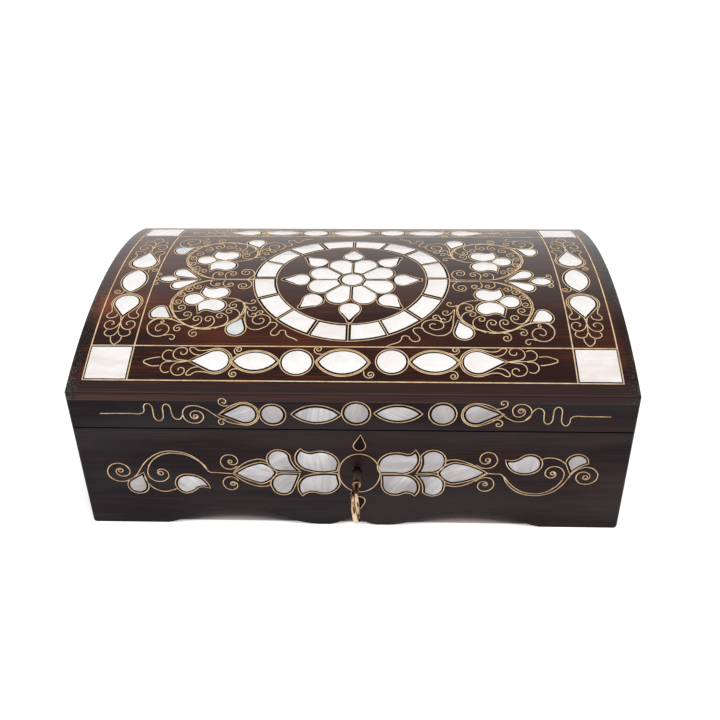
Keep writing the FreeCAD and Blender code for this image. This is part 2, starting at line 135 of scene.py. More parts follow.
def on_ground(ground: Ground, u: float, v: float, h: float) -> Vector:
    """Place of a drawn point in the row frame.

    Args:
        ground: surface that carries the drawing.
        u: distance along X, in millimetres.
        v: distance along the dome's arc, or height on a flat face.
        h: height over the surface.

    Returns:
        The point in metres.
    """
    if ground is Ground.DOME:
        bend = v / DOME_R
        r = DOME_R + h
        return Vector((u, r * math.sin(bend) + CASE_Y, DOME_Z + r * math.cos(bend))) * MM
    return Vector((u, FRONT - h + CASE_Y, v)) * MM


# Drawing of outlines: pairs are lines, fours are arcs through a middle point


def scaled(path: Path, du: float, dv: float, su: float = 1.0, sv: float = 1.0) -> Path:
    """Path stretched or mirrored about its own origin, then moved."""
    return [tuple(du + su * c if i % 2 == 0 else dv + sv * c for i, c in enumerate(step))
            for step in path]


def turned(path: Path, degrees: float) -> Path:
    """Path turned about its own origin.

    Args:
        path: steps of the path.
        degrees: angle, to the left.

    Returns:
        The turned path.
    """
    c, s = math.cos(math.radians(degrees)), math.sin(math.radians(degrees))
    out = []
    for step in path:
        moved: list[float] = []
        for i in range(0, len(step), 2):
            moved += [c * step[i] - s * step[i + 1], s * step[i] + c * step[i + 1]]
        out.append(tuple(moved))
    return out


def disc(u: float, v: float, r: float) -> Path:
    """Round slip."""
    return scaled([(-r, 0), (0, r, r, 0), (0, -r, -r, 0)], u, v)


def almond(u: float, v: float, a: float, b: float) -> Path:
    """Slip of two arcs between two points."""
    return scaled([(-a, 0), (0, b, a, 0), (0, -b, -a, 0)], u, v)


def square(u: float, v: float, half: float) -> Path:
    """Square slip."""
    return scaled([(-half, -half), (half, -half), (half, half), (-half, half)], u, v)


def oval(u: float, v: float, a: float, b: float) -> Path:
    """Oval as a path of straight steps."""
    angles = [math.radians(t) for t in range(0, 360, 5)]
    return [(u + a * math.cos(t), v + b * math.sin(t)) for t in angles]


def drop(u: float, v: float, r: float, tip_u: float, tip_v: float) -> Path:
    """Slip with a round end and straight sides that run to a tip.

    Args:
        u: middle of the round end along u.
        v: middle of the round end along v.
        r: radius of the round end.
        tip_u: tip along u.
        tip_v: tip along v.

    Returns:
        The outline.
    """
    reach = math.hypot(tip_u - u, tip_v - v)
    lean = math.degrees(math.atan2(tip_v - v, tip_u - u))
    x, y = r * r / reach, r * math.sqrt(1 - (r / reach) ** 2)
    return scaled(turned([(reach, 0), (x, y), (-r, 0, x, -y), (reach, 0)], lean), u, v)


def ring_piece(u: float, v: float, r0: float, r1: float, middle: float, gap: float) -> Path:
    """One of the sixteen pieces of the medallion's ring.

    Args:
        u: centre of the ring along u.
        v: centre of the ring along v.
        r0: inner radius.
        r1: outer radius.
        middle: direction of the piece's middle, in degrees.
        gap: half of the gap between two pieces.

    Returns:
        The outline.
    """
    half = math.radians(11.25)
    a, b = half - gap / r0, half - gap / r1
    path: Path = [(r0 * math.cos(a), -r0 * math.sin(a)), (r1 * math.cos(b), -r1 * math.sin(b))]
    path.append((r1, 0, r1 * math.cos(b), r1 * math.sin(b)))
    path.append((r0 * math.cos(a), r0 * math.sin(a)))
    path.append((r0, 0, path[0][0], path[0][1]))
    return scaled(turned(path, middle), u, v)


def circle_through(a: Point, b: Point, c: Point) -> tuple[float, float, float]:
    """Circle through three points.

    Args:
        a: first point.
        b: second point.
        c: third point.

    Returns:
        The centre's two coordinates, and a value that is positive where the points turn left.
    """
    side = 2 * (a[0] * (b[1] - c[1]) + b[0] * (c[1] - a[1]) + c[0] * (a[1] - b[1]))
    qa, qb, qc = (p[0] ** 2 + p[1] ** 2 for p in (a, b, c))
    u = (qa * (b[1] - c[1]) + qb * (c[1] - a[1]) + qc * (a[1] - b[1])) / side
    v = (qa * (c[0] - b[0]) + qb * (a[0] - c[0]) + qc * (b[0] - a[0])) / side
    return u, v, side


def arc_through(a: Point, b: Point, c: Point, chord: float) -> Line:
    """Points after a on the arc from a through b to c.

    Args:
        a: start of the arc.
        b: a point on the arc.
        c: end of the arc.
        chord: longest distance between two points.

    Returns:
        The points, with c last.
    """
    u, v, _ = circle_through(a, b, c)
    r = math.hypot(a[0] - u, a[1] - v)
    t0, t1, t2 = (math.atan2(p[1] - v, p[0] - u) for p in (a, b, c))
    sweep = (t2 - t0) % math.tau
    if (t1 - t0) % math.tau > sweep:
        sweep -= math.tau
    count = max(3, math.ceil(abs(sweep) * r / chord))
    angles = [t0 + sweep * i / count for i in range(1, count + 1)]
    return [(u + r * math.cos(t), v + r * math.sin(t)) for t in angles]


def traced(path: Path, chord: float = 0.7) -> Line:
    """Closed outline of a path.

    Args:
        path: steps of the path.
        chord: longest distance between two points of an arc.

    Returns:
        The outline's points, each once, to the left.
    """
    out: Line = [(path[0][0], path[0][1])]
    for step in path[1:]:
        if len(step) == 4:
            out += arc_through(out[-1], (step[0], step[1]), (step[2], step[3]), chord)
        else:
            out.append((step[0], step[1]))
    if math.dist(out[0], out[-1]) < 1e-4:
        out.pop()
    area = sum(p[0] * q[1] - q[0] * p[1] for p, q in zip(out, out[1:] + out[:1]))
    return out if area > 0 else out[::-1]


def widened(points: Line, by: float) -> Line:
    """Outline set off to the outside, with its sharp tips cut short.

    Args:
        points: outline, to the left.
        by: distance, negative to the inside.

    Returns:
        The new outline.
    """
    out = []
    for i, p in enumerate(points):
        here = Vector(p)
        into, away = here - Vector(points[i - 1]), Vector(points[(i + 1) % len(points)]) - here
        n0 = Vector((into.y, -into.x)).normalized()
        n1 = Vector((away.y, -away.x)).normalized()
        mean = (n0 + n1).normalized()
        reach = by / max(0.5, mean.dot(n1))
        out.append((p[0] + mean.x * reach, p[1] + mean.y * reach))
    return out


def curl(u: float, v: float, r: float, start: float, turn: int, turns: float,
         lead: float) -> Line:
    """Wire that winds in to a centre.

    Args:
        u: centre along u.
        v: centre along v.
        r: radius of the outer turn.
        start: direction of the start from the centre, in degrees.
        turn: 1 winds left, -1 winds right.
        turns: how many turns it makes.
        lead: radius at the start, in radii.

    Returns:
        Points along the wire.
    """
    count = round(turns * 8)
    out = []
    for i in range(count + 1):
        t = i / count
        reach = r * (1 - 0.78 * t) + r * (lead - 1) * max(0.0, 1 - i / 3) ** 1.5
        angle = math.radians(start + turn * 360 * turns * t)
        out.append((u + reach * math.cos(angle), v + reach * math.sin(angle)))
    return out


def coiled(line: Line) -> Line:
    """Winds the end of a line further in, round the circle of its last three points.

    Args:
        line: open line.

    Returns:
        The longer line.
    """
    u, v, side = circle_through(*line[-3:])
    end_u, end_v = line[-1]
    r, start = math.hypot(end_u - u, end_v - v), math.atan2(end_v - v, end_u - u)
    way = math.copysign(COIL_TURNS * math.tau / COIL_STEPS, side)
    wound = [(start + way * k, r * (1 - 0.1 * k)) for k in range(1, COIL_STEPS + 1)]
    return line + [(u + q * math.cos(t), v + q * math.sin(t)) for t, q in wound]


def bow(u: float, v: float, r: float, start: float, sweep: float) -> Line:
    """Part of a circle.

    Args:
        u: centre along u.
        v: centre along v.
        r: radius.
        start: direction of the first point from the centre, in degrees.
        sweep: angle that it covers, positive to the left.

    Returns:
        Points about 25 degrees apart.
    """
    count = math.ceil(abs(sweep) / 25)
    angles = [math.radians(start + sweep * i / count) for i in range(count + 1)]
    return [(u + r * math.cos(a), v + r * math.sin(a)) for a in angles]


def beside(line: Line, by: float) -> Line:
    """Open line that runs beside another and joins it at both ends.

    Args:
        line: the other line.
        by: distance, positive to the left.

    Returns:
        The new line.
    """
    out = []
    last = len(line) - 1
    for i, p in enumerate(line):
        a, b = line[max(0, i - 1)], line[min(last, i + 1)]
        away = by * min(1.0, i / 2, (last - i) / 2) / math.dist(a, b)
        out.append((p[0] - (b[1] - a[1]) * away, p[1] + (b[0] - a[0]) * away))
    return out


def tied(line: Line, u: float, v: float, r: float) -> Line:
    """Curl that leaves a line at the place nearest to the curl's centre.

    Args:
        line: line that it leaves.
        u: centre of the curl along u.
        v: centre of the curl along v.
        r: radius of the curl.

    Returns:
        Points along the curl.
    """
    dense = [(a[0] + (b[0] - a[0]) * i / 8, a[1] + (b[1] - a[1]) * i / 8)
             for a, b in zip(line, line[1:]) for i in range(9)]
    near = min(dense, key=lambda p: math.dist(p, (u, v)))
    outwards = math.degrees(math.atan2(near[1] - v, near[0] - u))
    return curl(u, v, r, outwards - 40, 1, 1.5, 1.3 * math.dist(near, (u, v)) / r)


def sized(line: Line, along: float, aside: float) -> Line:
    """Line stretched along and across; a negative stretch mirrors it."""
    return [(a * along, b * aside) for a, b in line]


# Finishes


def socket(group: Tree, name: str, way: str, kind: str, value: float | None = None) -> None:
    """Adds a named socket to a shader group.

    Args:
        group: the group.
        name: name of the socket.
        way: INPUT or OUTPUT.
        kind: type of the socket.
        value: its value where nothing is linked to it.
    """
    made = group.interface.new_socket(name, in_out=way, socket_type=kind)
    if value is not None:
        made.default_value = value


def mixed(tree: Tree, factor: Socket, a: Colour | Socket, b: Colour | Socket) -> Socket:
    """Mixes two colours.

    Args:
        tree: tree of the material.
        factor: share of the second colour.
        a: first colour.
        b: second colour.

    Returns:
        The mixed colour.
    """
    node = tree.nodes.new("ShaderNodeMix")
    node.data_type = "RGBA"
    tree.links.new(factor, node.inputs[0])
    for place, value in ((6, a), (7, b)):
        if isinstance(value, Socket):
            tree.links.new(value, node.inputs[place])
        else:
            node.inputs[place].default_value = (*value, 1.0)
    return node.outputs[2]


def ranged(tree: Tree, value: Socket, a: float, b: float, lo: float, hi: float) -> Socket:
    """Maps a value from one range to another, clamped.

    Args:
        tree: tree of the material.
        value: the value.
        a: start of its range.
        b: end of its range.
        lo: result at the start.
        hi: result at the end.

    Returns:
        The result.
    """
    node = tree.nodes.new("ShaderNodeMapRange")
    tree.links.new(value, node.inputs[0])
    for place, number in zip((1, 2, 3, 4), (a, b, lo, hi)):
        node.inputs[place].default_value = number
    return node.outputs[0]


def combined(tree: Tree, how: How, first: Socket, *others: Socket) -> Socket:
    """Joins values by a math operation, one after the other.

    Args:
        tree: tree of the material.
        how: the operation.
        first: first value.
        others: values that follow, none for an operation on one value.

    Returns:
        The result.
    """
    for other in others or (None,):
        node = tree.nodes.new("ShaderNodeMath")
        node.operation = how.value
        tree.links.new(first, node.inputs[0])
        if other is not None:
            tree.links.new(other, node.inputs[1])
        first = node.outputs[0]
    return first


def between(tree: Tree, value: Socket, rise: Span, fall: Span) -> Socket:
    """1 between a rise and a fall of a value, 0 outside them."""
    up = ranged(tree, value, *rise, 0, 1)
    return combined(tree, How.TIMES, up, ranged(tree, value, *fall, 1, 0))


def parted(tree: Tree, where: Socket) -> tuple[Socket, ...]:
    """Coordinates along X, Y and Z, each on its own.

    Args:
        tree: tree of the material.
        where: the coordinates.

    Returns:
        The three values.
    """
    node = tree.nodes.new("ShaderNodeSeparateXYZ")
    tree.links.new(where, node.inputs[0])
    return tuple(node.outputs)


def noise(tree: Tree, vector: Socket, scale: float, detail: float) -> Socket:
    """Noise over the surface.

    Args:
        tree: tree of the material.
        vector: coordinates.
        scale: how fine it is.
        detail: how many finer layers it has.

    Returns:
        The value.
    """
    node = tree.nodes.new("ShaderNodeTexNoise")
    tree.links.new(vector, node.inputs["Vector"])
    node.inputs["Scale"].default_value = scale
    node.inputs["Detail"].default_value = detail
    return node.outputs[0]


def stretched(tree: Tree, vector: Socket, scale: Triple, shift: Triple = (0, 0, 0)) -> Socket:
    """Coordinates scaled along their axes, then shifted.

    Args:
        tree: tree of the material.
        vector: coordinates.
        scale: factor along each axis.
        shift: distance along each axis.

    Returns:
        The new coordinates.
    """
    node = tree.nodes.new("ShaderNodeMapping")
    tree.links.new(vector, node.inputs["Vector"])
    node.inputs["Scale"].default_value = scale
    node.inputs["Location"].default_value = shift
    return node.outputs[0]


def grain_group() -> Tree:
    """Wood grain along X: broad figure, fine fibres and open pores.

    Returns:
        The group, built once.
    """
    found = bpy.data.node_groups.get("wood_grain")
    if found:
        return found
    group = bpy.data.node_groups.new("wood_grain", "ShaderNodeTree")
    socket(group, "Vector", "INPUT", "NodeSocketVector")
    into, out = group.nodes.new("NodeGroupInput"), group.nodes.new("NodeGroupOutput")
    for place, (name, along, across, detail) in enumerate((
            ("Figure", 5, 34, 4), ("Fibre", 13, 620, 4), ("Pores", 26, 1500, 2))):
        socket(group, name, "OUTPUT", "NodeSocketFloat")
        grain = stretched(group, into.outputs[0], (along, across, across))
        group.links.new(noise(group, grain, 1.0, detail), out.inputs[place])
    return group


def tarnish_group() -> Tree:
    """Patches of tarnish on brass.

    Returns:
        The group, built once.
    """
    found = bpy.data.node_groups.get("brass_tarnish")
    if found:
        return found
    group = bpy.data.node_groups.new("brass_tarnish", "ShaderNodeTree")
    socket(group, "Vector", "INPUT", "NodeSocketVector")
    socket(group, "Scale", "INPUT", "NodeSocketFloat", 200.0)
    socket(group, "Tarnish", "OUTPUT", "NodeSocketFloat")
    into, out = group.nodes.new("NodeGroupInput"), group.nodes.new("NodeGroupOutput")
    node = group.nodes.new("ShaderNodeTexNoise")
    node.inputs["Detail"].default_value = 4
    group.links.new(into.outputs[0], node.inputs["Vector"])
    group.links.new(into.outputs[1], node.inputs["Scale"])
    group.links.new(ranged(group, node.outputs[0], 0.35, 0.7, 0, 1), out.inputs[0])
    return group


def blank(name: str) -> tuple[Material, Tree, bpy.types.Node, Socket]:
    """New material.

    Args:
        name: its name.

    Returns:
        The material, its tree, its shader and its object coordinates.
    """
    made = bpy.data.materials.new(name)
    made.use_nodes = True
    tree = made.node_tree
    shader = next(n for n in tree.nodes if n.type == "BSDF_PRINCIPLED")
    where = tree.nodes.new("ShaderNodeTexCoord")
    return made, tree, shader, where.outputs["Object"]


def bumped(tree: Tree, shader: bpy.types.Node, height: Socket, depth: float) -> None:
    """Lets a height raise the surface.

    Args:
        tree: tree of the material.
        shader: its shader.
        height: height from 0 to 1.
        depth: depth of the relief, in metres.
    """
    node = tree.nodes.new("ShaderNodeBump")
    node.inputs["Distance"].default_value = depth
    node.inputs["Strength"].default_value = 1.0
    tree.links.new(height, node.inputs["Height"])
    tree.links.new(node.outputs[0], shader.inputs["Normal"])


@dataclass(frozen=True)
class WoodFinish:
    """Dark stained wood with a satin polish."""

    name: str
    dark: Colour = (0.0038, 0.0017, 0.0029)
    warm: Colour = (0.0300, 0.0085, 0.0050)
    turn: float = 0.0
    shine: float = 0.19
    sheen: Colour = (1.0, 0.86, 0.96)
    streak: float = 1.7
    calm: float = 0.3
    fibres: float = 0.8
    lid: bool = False
    red_edge: Colour = (0.075, 0.020, 0.010)
    arris_wear_and_highlight: Colour = (0.052, 0.040, 0.040)
    end_shade: Colour = (0.006, 0.004, 0.004)
    wear_and_sheen_specks: Colour = (0.30, 0.28, 0.29)
    joint: Colour = (0.0004, 0.0003, 0.0003)
    coat_rough: float = 0.34
    relief: float = 0.00003

    def fading(self, tree: Tree, where: Socket) -> Socket:
        """Share of warm colour on the lid, highest at the front, on the left and at the ends.

        Args:
            tree: tree of the material.
            where: object coordinates.

        Returns:
            The share.
        """
        x, y, _ = parted(tree, where)
        along = ranged(tree, x, -0.115, 0.07, 1, 0.2)
        across = ranged(tree, y, deep(FRONT + 25), deep(15), 1, 0.4)
        ends = ranged(tree, combined(tree, How.SIZE, x), 0.090, 0.110, 0, 0.8)
        ends = combined(tree, How.TIMES, ends, ranged(tree, x, -0.1, 0.1, 1, 0.5))
        margin = ranged(tree, y, deep(-76), deep(-73.5), 0.25, 1)
        return combined(tree, How.TIMES, combined(tree, How.PLUS, along, ends), across, margin)

    def polish(self, tree: Tree, where: Socket) -> Socket:
        """Weight of the polish: in patches, and on the lid thin in front of the middle.

        Args:
            tree: tree of the material.
            where: object coordinates, turned with the grain.

        Returns:
            The weight.
        """
        if not self.lid:
            patches = noise(tree, stretched(tree, where, (12, 60, 60)), 1.0, 3)
            return ranged(tree, patches, 0.40, 0.60, 0, 0.27)
        y = parted(tree, where)[1]
        front = ranged(tree, y, deep(-75), deep(-71), 0.30, 0.02)
        back = ranged(tree, y, deep(-40), deep(-9), 0.02, 0.52)
        return combined(tree, How.MOST, front, back)

    def edges(self, tree: Tree, where: Socket, colour: Socket) -> Socket:
        """Adds the red front edge of the lid's sheet, its pale arris of wear and painted highlight,
        and at its ends painted shade and worn specks painted light as sheen.

        Args:
            tree: tree of the material.
            where: object coordinates.
            colour: colour of the plain wood.

        Returns:
            The colour with all of them.
        """
        x, y, _ = parted(tree, where)
        streak = noise(tree, stretched(tree, where, (14, 14, 900)), 1.0, 3)
        red = combined(
            tree, How.TIMES, ranged(tree, y, deep(FRONT + 0.1), deep(FRONT + 0.4), 1, 0),
            ranged(tree, streak, 0.40, 0.62, 0.25, 1), ranged(tree, x, -0.06, 0.10, 1, 0.25))
        colour = mixed(tree, red, colour, self.red_edge)
        # Pale band at the front arris: wear, with a painted highlight
        arris = between(tree, y, (deep(FRONT + 0.3), deep(FRONT + 0.6)),
                        (deep(FRONT + 0.8), deep(FRONT + 1.4)))
        arris = combined(tree, How.TIMES, arris, ranged(tree, streak, 0.40, 0.62, 0.8, 0.35))
        colour = mixed(tree, arris, colour, self.arris_wear_and_highlight)
        # Painted shade where the rounded ends of the sheet turn from the light
        end = ranged(tree, combined(tree, How.SIZE, x), 0.1190, 0.1240, 0, 1)
        colour = mixed(tree, ranged(tree, end, 0, 0.6, 0, 0.7), colour, self.end_shade)
        # Light grey specks at the ends and the front corners: wear painted light as sheen
        # highlights, stronger on the left
        patch = ranged(tree, noise(tree, where, 28.0, 2), 0.46, 0.62, 0, 1)
        corner = ranged(tree, y, deep(FRONT + 5), deep(FRONT + 40), 0.9, 0)
        speck = ranged(tree, noise(tree, where, 1500.0, 2), 0.55, 0.66, 0, 0.75)
        worn = combined(tree, How.TIMES, end, combined(tree, How.MOST, patch, corner), speck,
                        ranged(tree, x, -0.1, 0.1, 0.8, 0.4))
        return mixed(tree, worn, colour, self.wear_and_sheen_specks)

    def gap_shade(self, tree: Tree, where: Socket) -> Socket:
        """Marks the painted shade, a dark line along the gap of lid and case, on the outer faces.

        Args:
            tree: tree of the material.
            where: object coordinates.

        Returns:
            1 on the line, 0 elsewhere.
        """
        x, y, z = parted(tree, where)
        line = between(tree, z, ((SEAM - 0.35) * MM, (SEAM - 0.29) * MM),
                       ((SEAM + 0.29) * MM, (SEAM + 0.35) * MM))
        ends = ranged(tree, combined(tree, How.SIZE, x),
                      (HALF_LENGTH - 0.6) * MM, (HALF_LENGTH - 0.4) * MM, 0, 1)
        front = ranged(tree, y, deep(FRONT + 0.4), deep(FRONT + 0.6), 1, 0)
        back = ranged(tree, y, deep(HALF_DEPTH - 0.6), deep(HALF_DEPTH - 0.4), 0, 1)
        return combined(tree, How.TIMES, line, combined(tree, How.MOST, ends, front, back))

    def material(self) -> Material:
        """Builds the material.

        Returns:
            The material.
        """
        made, tree, shader, where = blank(self.name)
        turner = tree.nodes.new("ShaderNodeMapping")
        turner.inputs["Rotation"].default_value = (0, 0, math.radians(self.turn))
        tree.links.new(where, turner.inputs["Vector"])
        grain = tree.nodes.new("ShaderNodeGroup")
        grain.node_tree = grain_group()
        tree.links.new(turner.outputs[0], grain.inputs[0])
        figure, fibre, pores = grain.outputs
        clouds = ranged(tree, noise(tree, where, 26.0, 3), 0.38, 0.62, self.calm, 1)
        share = combined(tree, How.TIMES, ranged(tree, figure, 0.38, 0.66, 0, 1), clouds)
        streaks = ranged(tree, pores, 0.58, 0.74, 0, 0.6)
        if self.lid:
            fade = self.fading(tree, where)
            share = combined(tree, How.TIMES, share, fade)
            streaks = combined(tree, How.TIMES, streaks, ranged(tree, fade, 0, 0.8, 0.1, 1))
        colour = mixed(tree, share, self.dark, self.warm)
        colour = mixed(tree, ranged(tree, fibre, 0.44, 0.66, 0, self.fibres), colour, self.dark)
        bright = tuple(min(1.0, self.streak * c) for c in self.warm)
        colour = mixed(tree, streaks, colour, bright)
        polish = self.polish(tree, where if self.lid else turner.outputs[0])
        if self.lid:
            colour = self.edges(tree, where, colour)
        else:
            # Painted shade of the gap between lid and case: near-black, metallic so that it shows
            # no sheen, and without polish
            gap_shade = self.gap_shade(tree, where)
            colour = mixed(tree, gap_shade, colour, self.joint)
            polish = combined(tree, How.TIMES, polish, ranged(tree, gap_shade, 0, 1, 1, 0))
            tree.links.new(gap_shade, shader.inputs["Metallic"])
        tree.links.new(polish, shader.inputs["Coat Weight"])
        tree.links.new(colour, shader.inputs["Base Color"])
        tree.links.new(ranged(tree, fibre, 0.3, 0.75, 0.26, 0.42), shader.inputs["Roughness"])
        shader.inputs["Coat Roughness"].default_value = self.coat_rough
        shader.inputs["Specular IOR Level"].default_value = self.shine
        shader.inputs["Specular Tint"].default_value = (*self.sheen, 1.0)
        bumped(tree, shader, fibre, self.relief)
        return made


@dataclass(frozen=True)
class PearlFinish:
    """Polished mother-of-pearl, each slip with its own tint and growth lines."""

    name: str
    pale: Colour = (0.99, 0.975, 0.965)
    cream: Colour = (0.95, 0.915, 0.895)
    cool: Colour = (0.62, 0.68, 0.72)
    shade: Colour = (0.72, 0.60, 0.53)
    band: Colour = (0.82, 0.71, 0.66)
    lines: float = 0.32
    fine: float = 330.0
    stripes: float = 0.10
    axis: Axis = Axis.UP
    cream_at: Span = (0.55, 0.85)
    cool_at: Span = (0.90, 0.95)
    banded_at: Span = (0.96, 0.99)
    spread: float = 37.0
    coat: float = 0.35
    coat_rough: float = 0.12
    relief: float = 0.00001

    def material(self) -> Material:
        """Builds the material.

        Returns:
            The material.
        """
        made, tree, shader, where = blank(self.name)
        slip = tree.nodes.new("ShaderNodeAttribute")
        slip.attribute_name = "slip"
        tint = slip.outputs["Fac"]
        banded = ranged(tree, tint, *self.banded_at, 0, 1)
        colour = mixed(tree, ranged(tree, tint, *self.cream_at, 0, 0.75), self.pale, self.cream)
        colour = mixed(tree, ranged(tree, tint, *self.cool_at, 0, 0.9), colour, self.cool)
        colour = mixed(tree, banded, colour, self.cream)
        angle = tree.nodes.new("ShaderNodeMath")
        angle.operation = How.TIMES.value
        angle.inputs[1].default_value = self.spread
        tree.links.new(tint, angle.inputs[0])
        turner = tree.nodes.new("ShaderNodeVectorRotate")
        turner.rotation_type = self.axis.value
        tree.links.new(where, turner.inputs["Vector"])
        tree.links.new(angle.outputs[0], turner.inputs["Angle"])
        across = turner.outputs[0]
        growth = noise(tree, stretched(tree, across, (45, self.fine, self.fine)), 1.0, 4)
        stripe = noise(tree, stretched(tree, across, (60, 640, 640)), 1.0, 2)
        cloud = noise(tree, where, 95.0, 3)
        for mask, low, high, most, second in (
                (growth, 0.46, 0.70, self.lines, self.shade),
                (stripe, 0.46, 0.62, self.stripes, self.shade),
                (cloud, 0.42, 0.66, 0.5, self.cream)):
            colour = mixed(tree, ranged(tree, mask, low, high, 0, most), colour, second)
        band = noise(tree, stretched(tree, where, (40, 150, 150)), 1.0, 2)
        band = combined(tree, How.TIMES, ranged(tree, band, 0.45, 0.62, 0, 0.7), banded)
        tree.links.new(mixed(tree, band, colour, self.band), shader.inputs["Base Color"])
        tree.links.new(ranged(tree, growth, 0.3, 0.7, 0.18, 0.32), shader.inputs["Roughness"])
        shader.inputs["Coat Weight"].default_value = self.coat
        shader.inputs["Coat Roughness"].default_value = self.coat_rough
        bumped(tree, shader, growth, self.relief)
        return made


@dataclass(frozen=True)
class BrassFinish:
    """Brass with a little tarnish."""

    name: str
    bright: Colour = (1.0, 0.77, 0.49)
    dull: Colour = (0.76, 0.52, 0.28)
    gloss: Span = (0.36, 0.55)
    patch: float = 240.0

    def material(self) -> Material:
        """Builds the material.

        Returns:
            The material.
        """
        made, tree, shader, where = blank(self.name)
        tarnish = tree.nodes.new("ShaderNodeGroup")
        tarnish.node_tree = tarnish_group()
        tarnish.inputs["Scale"].default_value = self.patch
        tree.links.new(where, tarnish.inputs[0])
        share = tarnish.outputs[0]
        tree.links.new(mixed(tree, share, self.bright, self.dull), shader.inputs["Base Color"])
        tree.links.new(ranged(tree, share, 0, 1, *self.gloss), shader.inputs["Roughness"])
        shader.inputs["Metallic"].default_value = 1.0
        return made


@dataclass(frozen=True)
class KeyFinish(BrassFinish):
    """Brass that is polished by the hand at the bow and dull along the shaft."""

    shaft: Colour = (0.46, 0.38, 0.25)
    neck_dark: Colour = (0.05, 0.045, 0.028)
    copper: Colour = (0.27, 0.125, 0.075)
    # Colour of the painted shade on the shaft next to the keyhole, over the span shade
    inside: Colour = (0.025, 0.02, 0.013)
    ends: Span = (-88.3, -87.6)
    neck: Span = (-96.8, -90.4)
    shade: Span = (-85.0, -80.5)
    blur: float = 0.4

    def material(self) -> Material:
        """Builds the material.

        Returns:
            The material.
        """
        made = super().material()
        tree = made.node_tree
        shader = next(n for n in tree.nodes if n.type == "BSDF_PRINCIPLED")
        where = next(n for n in tree.nodes if n.type == "TEX_COORD").outputs["Object"]
        colour = shader.inputs["Base Color"].links[0].from_socket
        gloss = shader.inputs["Roughness"].links[0].from_socket
        y = parted(tree, where)[1]
        low, high = self.neck
        # Darker across the neck
        dark = combined(
            tree, How.LEAST, ranged(tree, y, deep(low - self.blur), deep(low + self.blur), 0, 0.8),
            ranged(tree, y, deep(high - self.blur), deep(high + self.blur), 0.8, 0))
        colour = mixed(tree, dark, colour, self.neck_dark)
        worn = ranged(tree, noise(tree, where, 170.0, 2), 0.47, 0.53, 0, 0.85)
        colour = mixed(tree, worn, colour, self.copper)
        dull = ranged(tree, y, deep(self.ends[0]), deep(self.ends[1]), 0, 1)
        colour = mixed(tree, dull, colour, self.shaft)
        # Painted shade: the shaft darkens towards the keyhole
        inner = ranged(tree, y, deep(self.shade[0]), deep(self.shade[1]), 0, 0.9)
        tree.links.new(mixed(tree, inner, colour, self.inside), shader.inputs["Base Color"])
        rough = combined(tree, How.MOST, gloss, ranged(tree, dull, 0, 1, 0, 0.48))
        tree.links.new(rough, shader.inputs["Roughness"])
        return made


@dataclass(frozen=True)
class VelvetFinish:
    """Short cut velvet."""

    name: str
    dark: Colour = (0.085, 0.006, 0.010)
    light: Colour = (0.20, 0.018, 0.026)
    glow: Colour = (0.62, 0.22, 0.24)
    fuzz: float = 0.6
    fuzz_rough: float = 0.4
    relief: float = 0.0002

    def material(self) -> Material:
        """Builds the material.

        Returns:
            The material.
        """
        made, tree, shader, where = blank(self.name)
        nap = ranged(tree, noise(tree, where, 45.0, 4), 0.35, 0.7, 0, 1)
        pile = noise(tree, where, 2600.0, 2)
        tree.links.new(mixed(tree, nap, self.dark, self.light), shader.inputs["Base Color"])
        tree.links.new(ranged(tree, pile, 0.3, 0.7, 0.8, 1.0), shader.inputs["Roughness"])
        shader.inputs["Sheen Weight"].default_value = self.fuzz
        shader.inputs["Sheen Tint"].default_value = (*self.glow, 1.0)
        shader.inputs["Sheen Roughness"].default_value = self.fuzz_rough
        bumped(tree, shader, pile, self.relief)
        return made


@dataclass(frozen=True)
class MasticFinish:
    """Dark filler that beds the slips."""

    name: str
    dark: Colour = (0.0055, 0.0024, 0.0024)
    light: Colour = (0.015, 0.0075, 0.0065)
    shine: float = 0.07

    def material(self) -> Material:
        """Builds the material.

        Returns:
            The material.
        """
        made, tree, shader, where = blank(self.name)
        grit = noise(tree, where, 1800.0, 2)
        tree.links.new(mixed(tree, grit, self.dark, self.light), shader.inputs["Base Color"])
        tree.links.new(ranged(tree, grit, 0.3, 0.7, 0.5, 0.7), shader.inputs["Roughness"])
        shader.inputs["Specular IOR Level"].default_value = self.shine
        return made


# Modelling


def linked(name: str, data: bpy.types.ID) -> Object:
    """New object in the scene.

    Args:
        name: its name.
        data: its mesh, curve, camera or lamp.

    Returns:
        The object.
    """
    made = bpy.data.objects.new(name, data)
    bpy.context.scene.collection.objects.link(made)
    return made


def deselect() -> None:
    """Leaves nothing selected."""
    if bpy.context.object and bpy.context.object.mode != "OBJECT":
        bpy.ops.object.mode_set(mode="OBJECT")
    bpy.ops.object.select_all(action="DESELECT")


def picked(obj: Object) -> None:
    """Selects one object alone and makes it active.

    Args:
        obj: the object.
    """
    deselect()
    obj.select_set(True)
    bpy.context.view_layer.objects.active = obj


def edited(obj: Object) -> None:
    """Picks one object and opens it for editing."""
    picked(obj)
    bpy.ops.object.mode_set(mode="EDIT")


def placed(obj: Object) -> Object:
    """Puts an object's place, turn and size into its mesh.

    Args:
        obj: the object.

    Returns:
        The same object.
    """
    picked(obj)
    bpy.ops.object.transform_apply(location=True, rotation=True, scale=True)
    return obj


def smoothed(obj: Object, degrees: float) -> None:
    """Shades an object smooth, apart from edges sharper than an angle."""
    picked(obj)
    bpy.ops.object.shade_smooth_by_angle(angle=math.radians(degrees))


def modified(obj: Object, kind: str, **values: object) -> None:
    """Adds a modifier and applies it.

    Args:
        obj: the object.
        kind: type of the modifier.
        values: its values, by name.
    """
    picked(obj)
    modifier = obj.modifiers.new(kind.lower(), kind)
    for name, value in values.items():
        setattr(modifier, name, value)
    bpy.ops.object.modifier_apply(modifier=modifier.name)


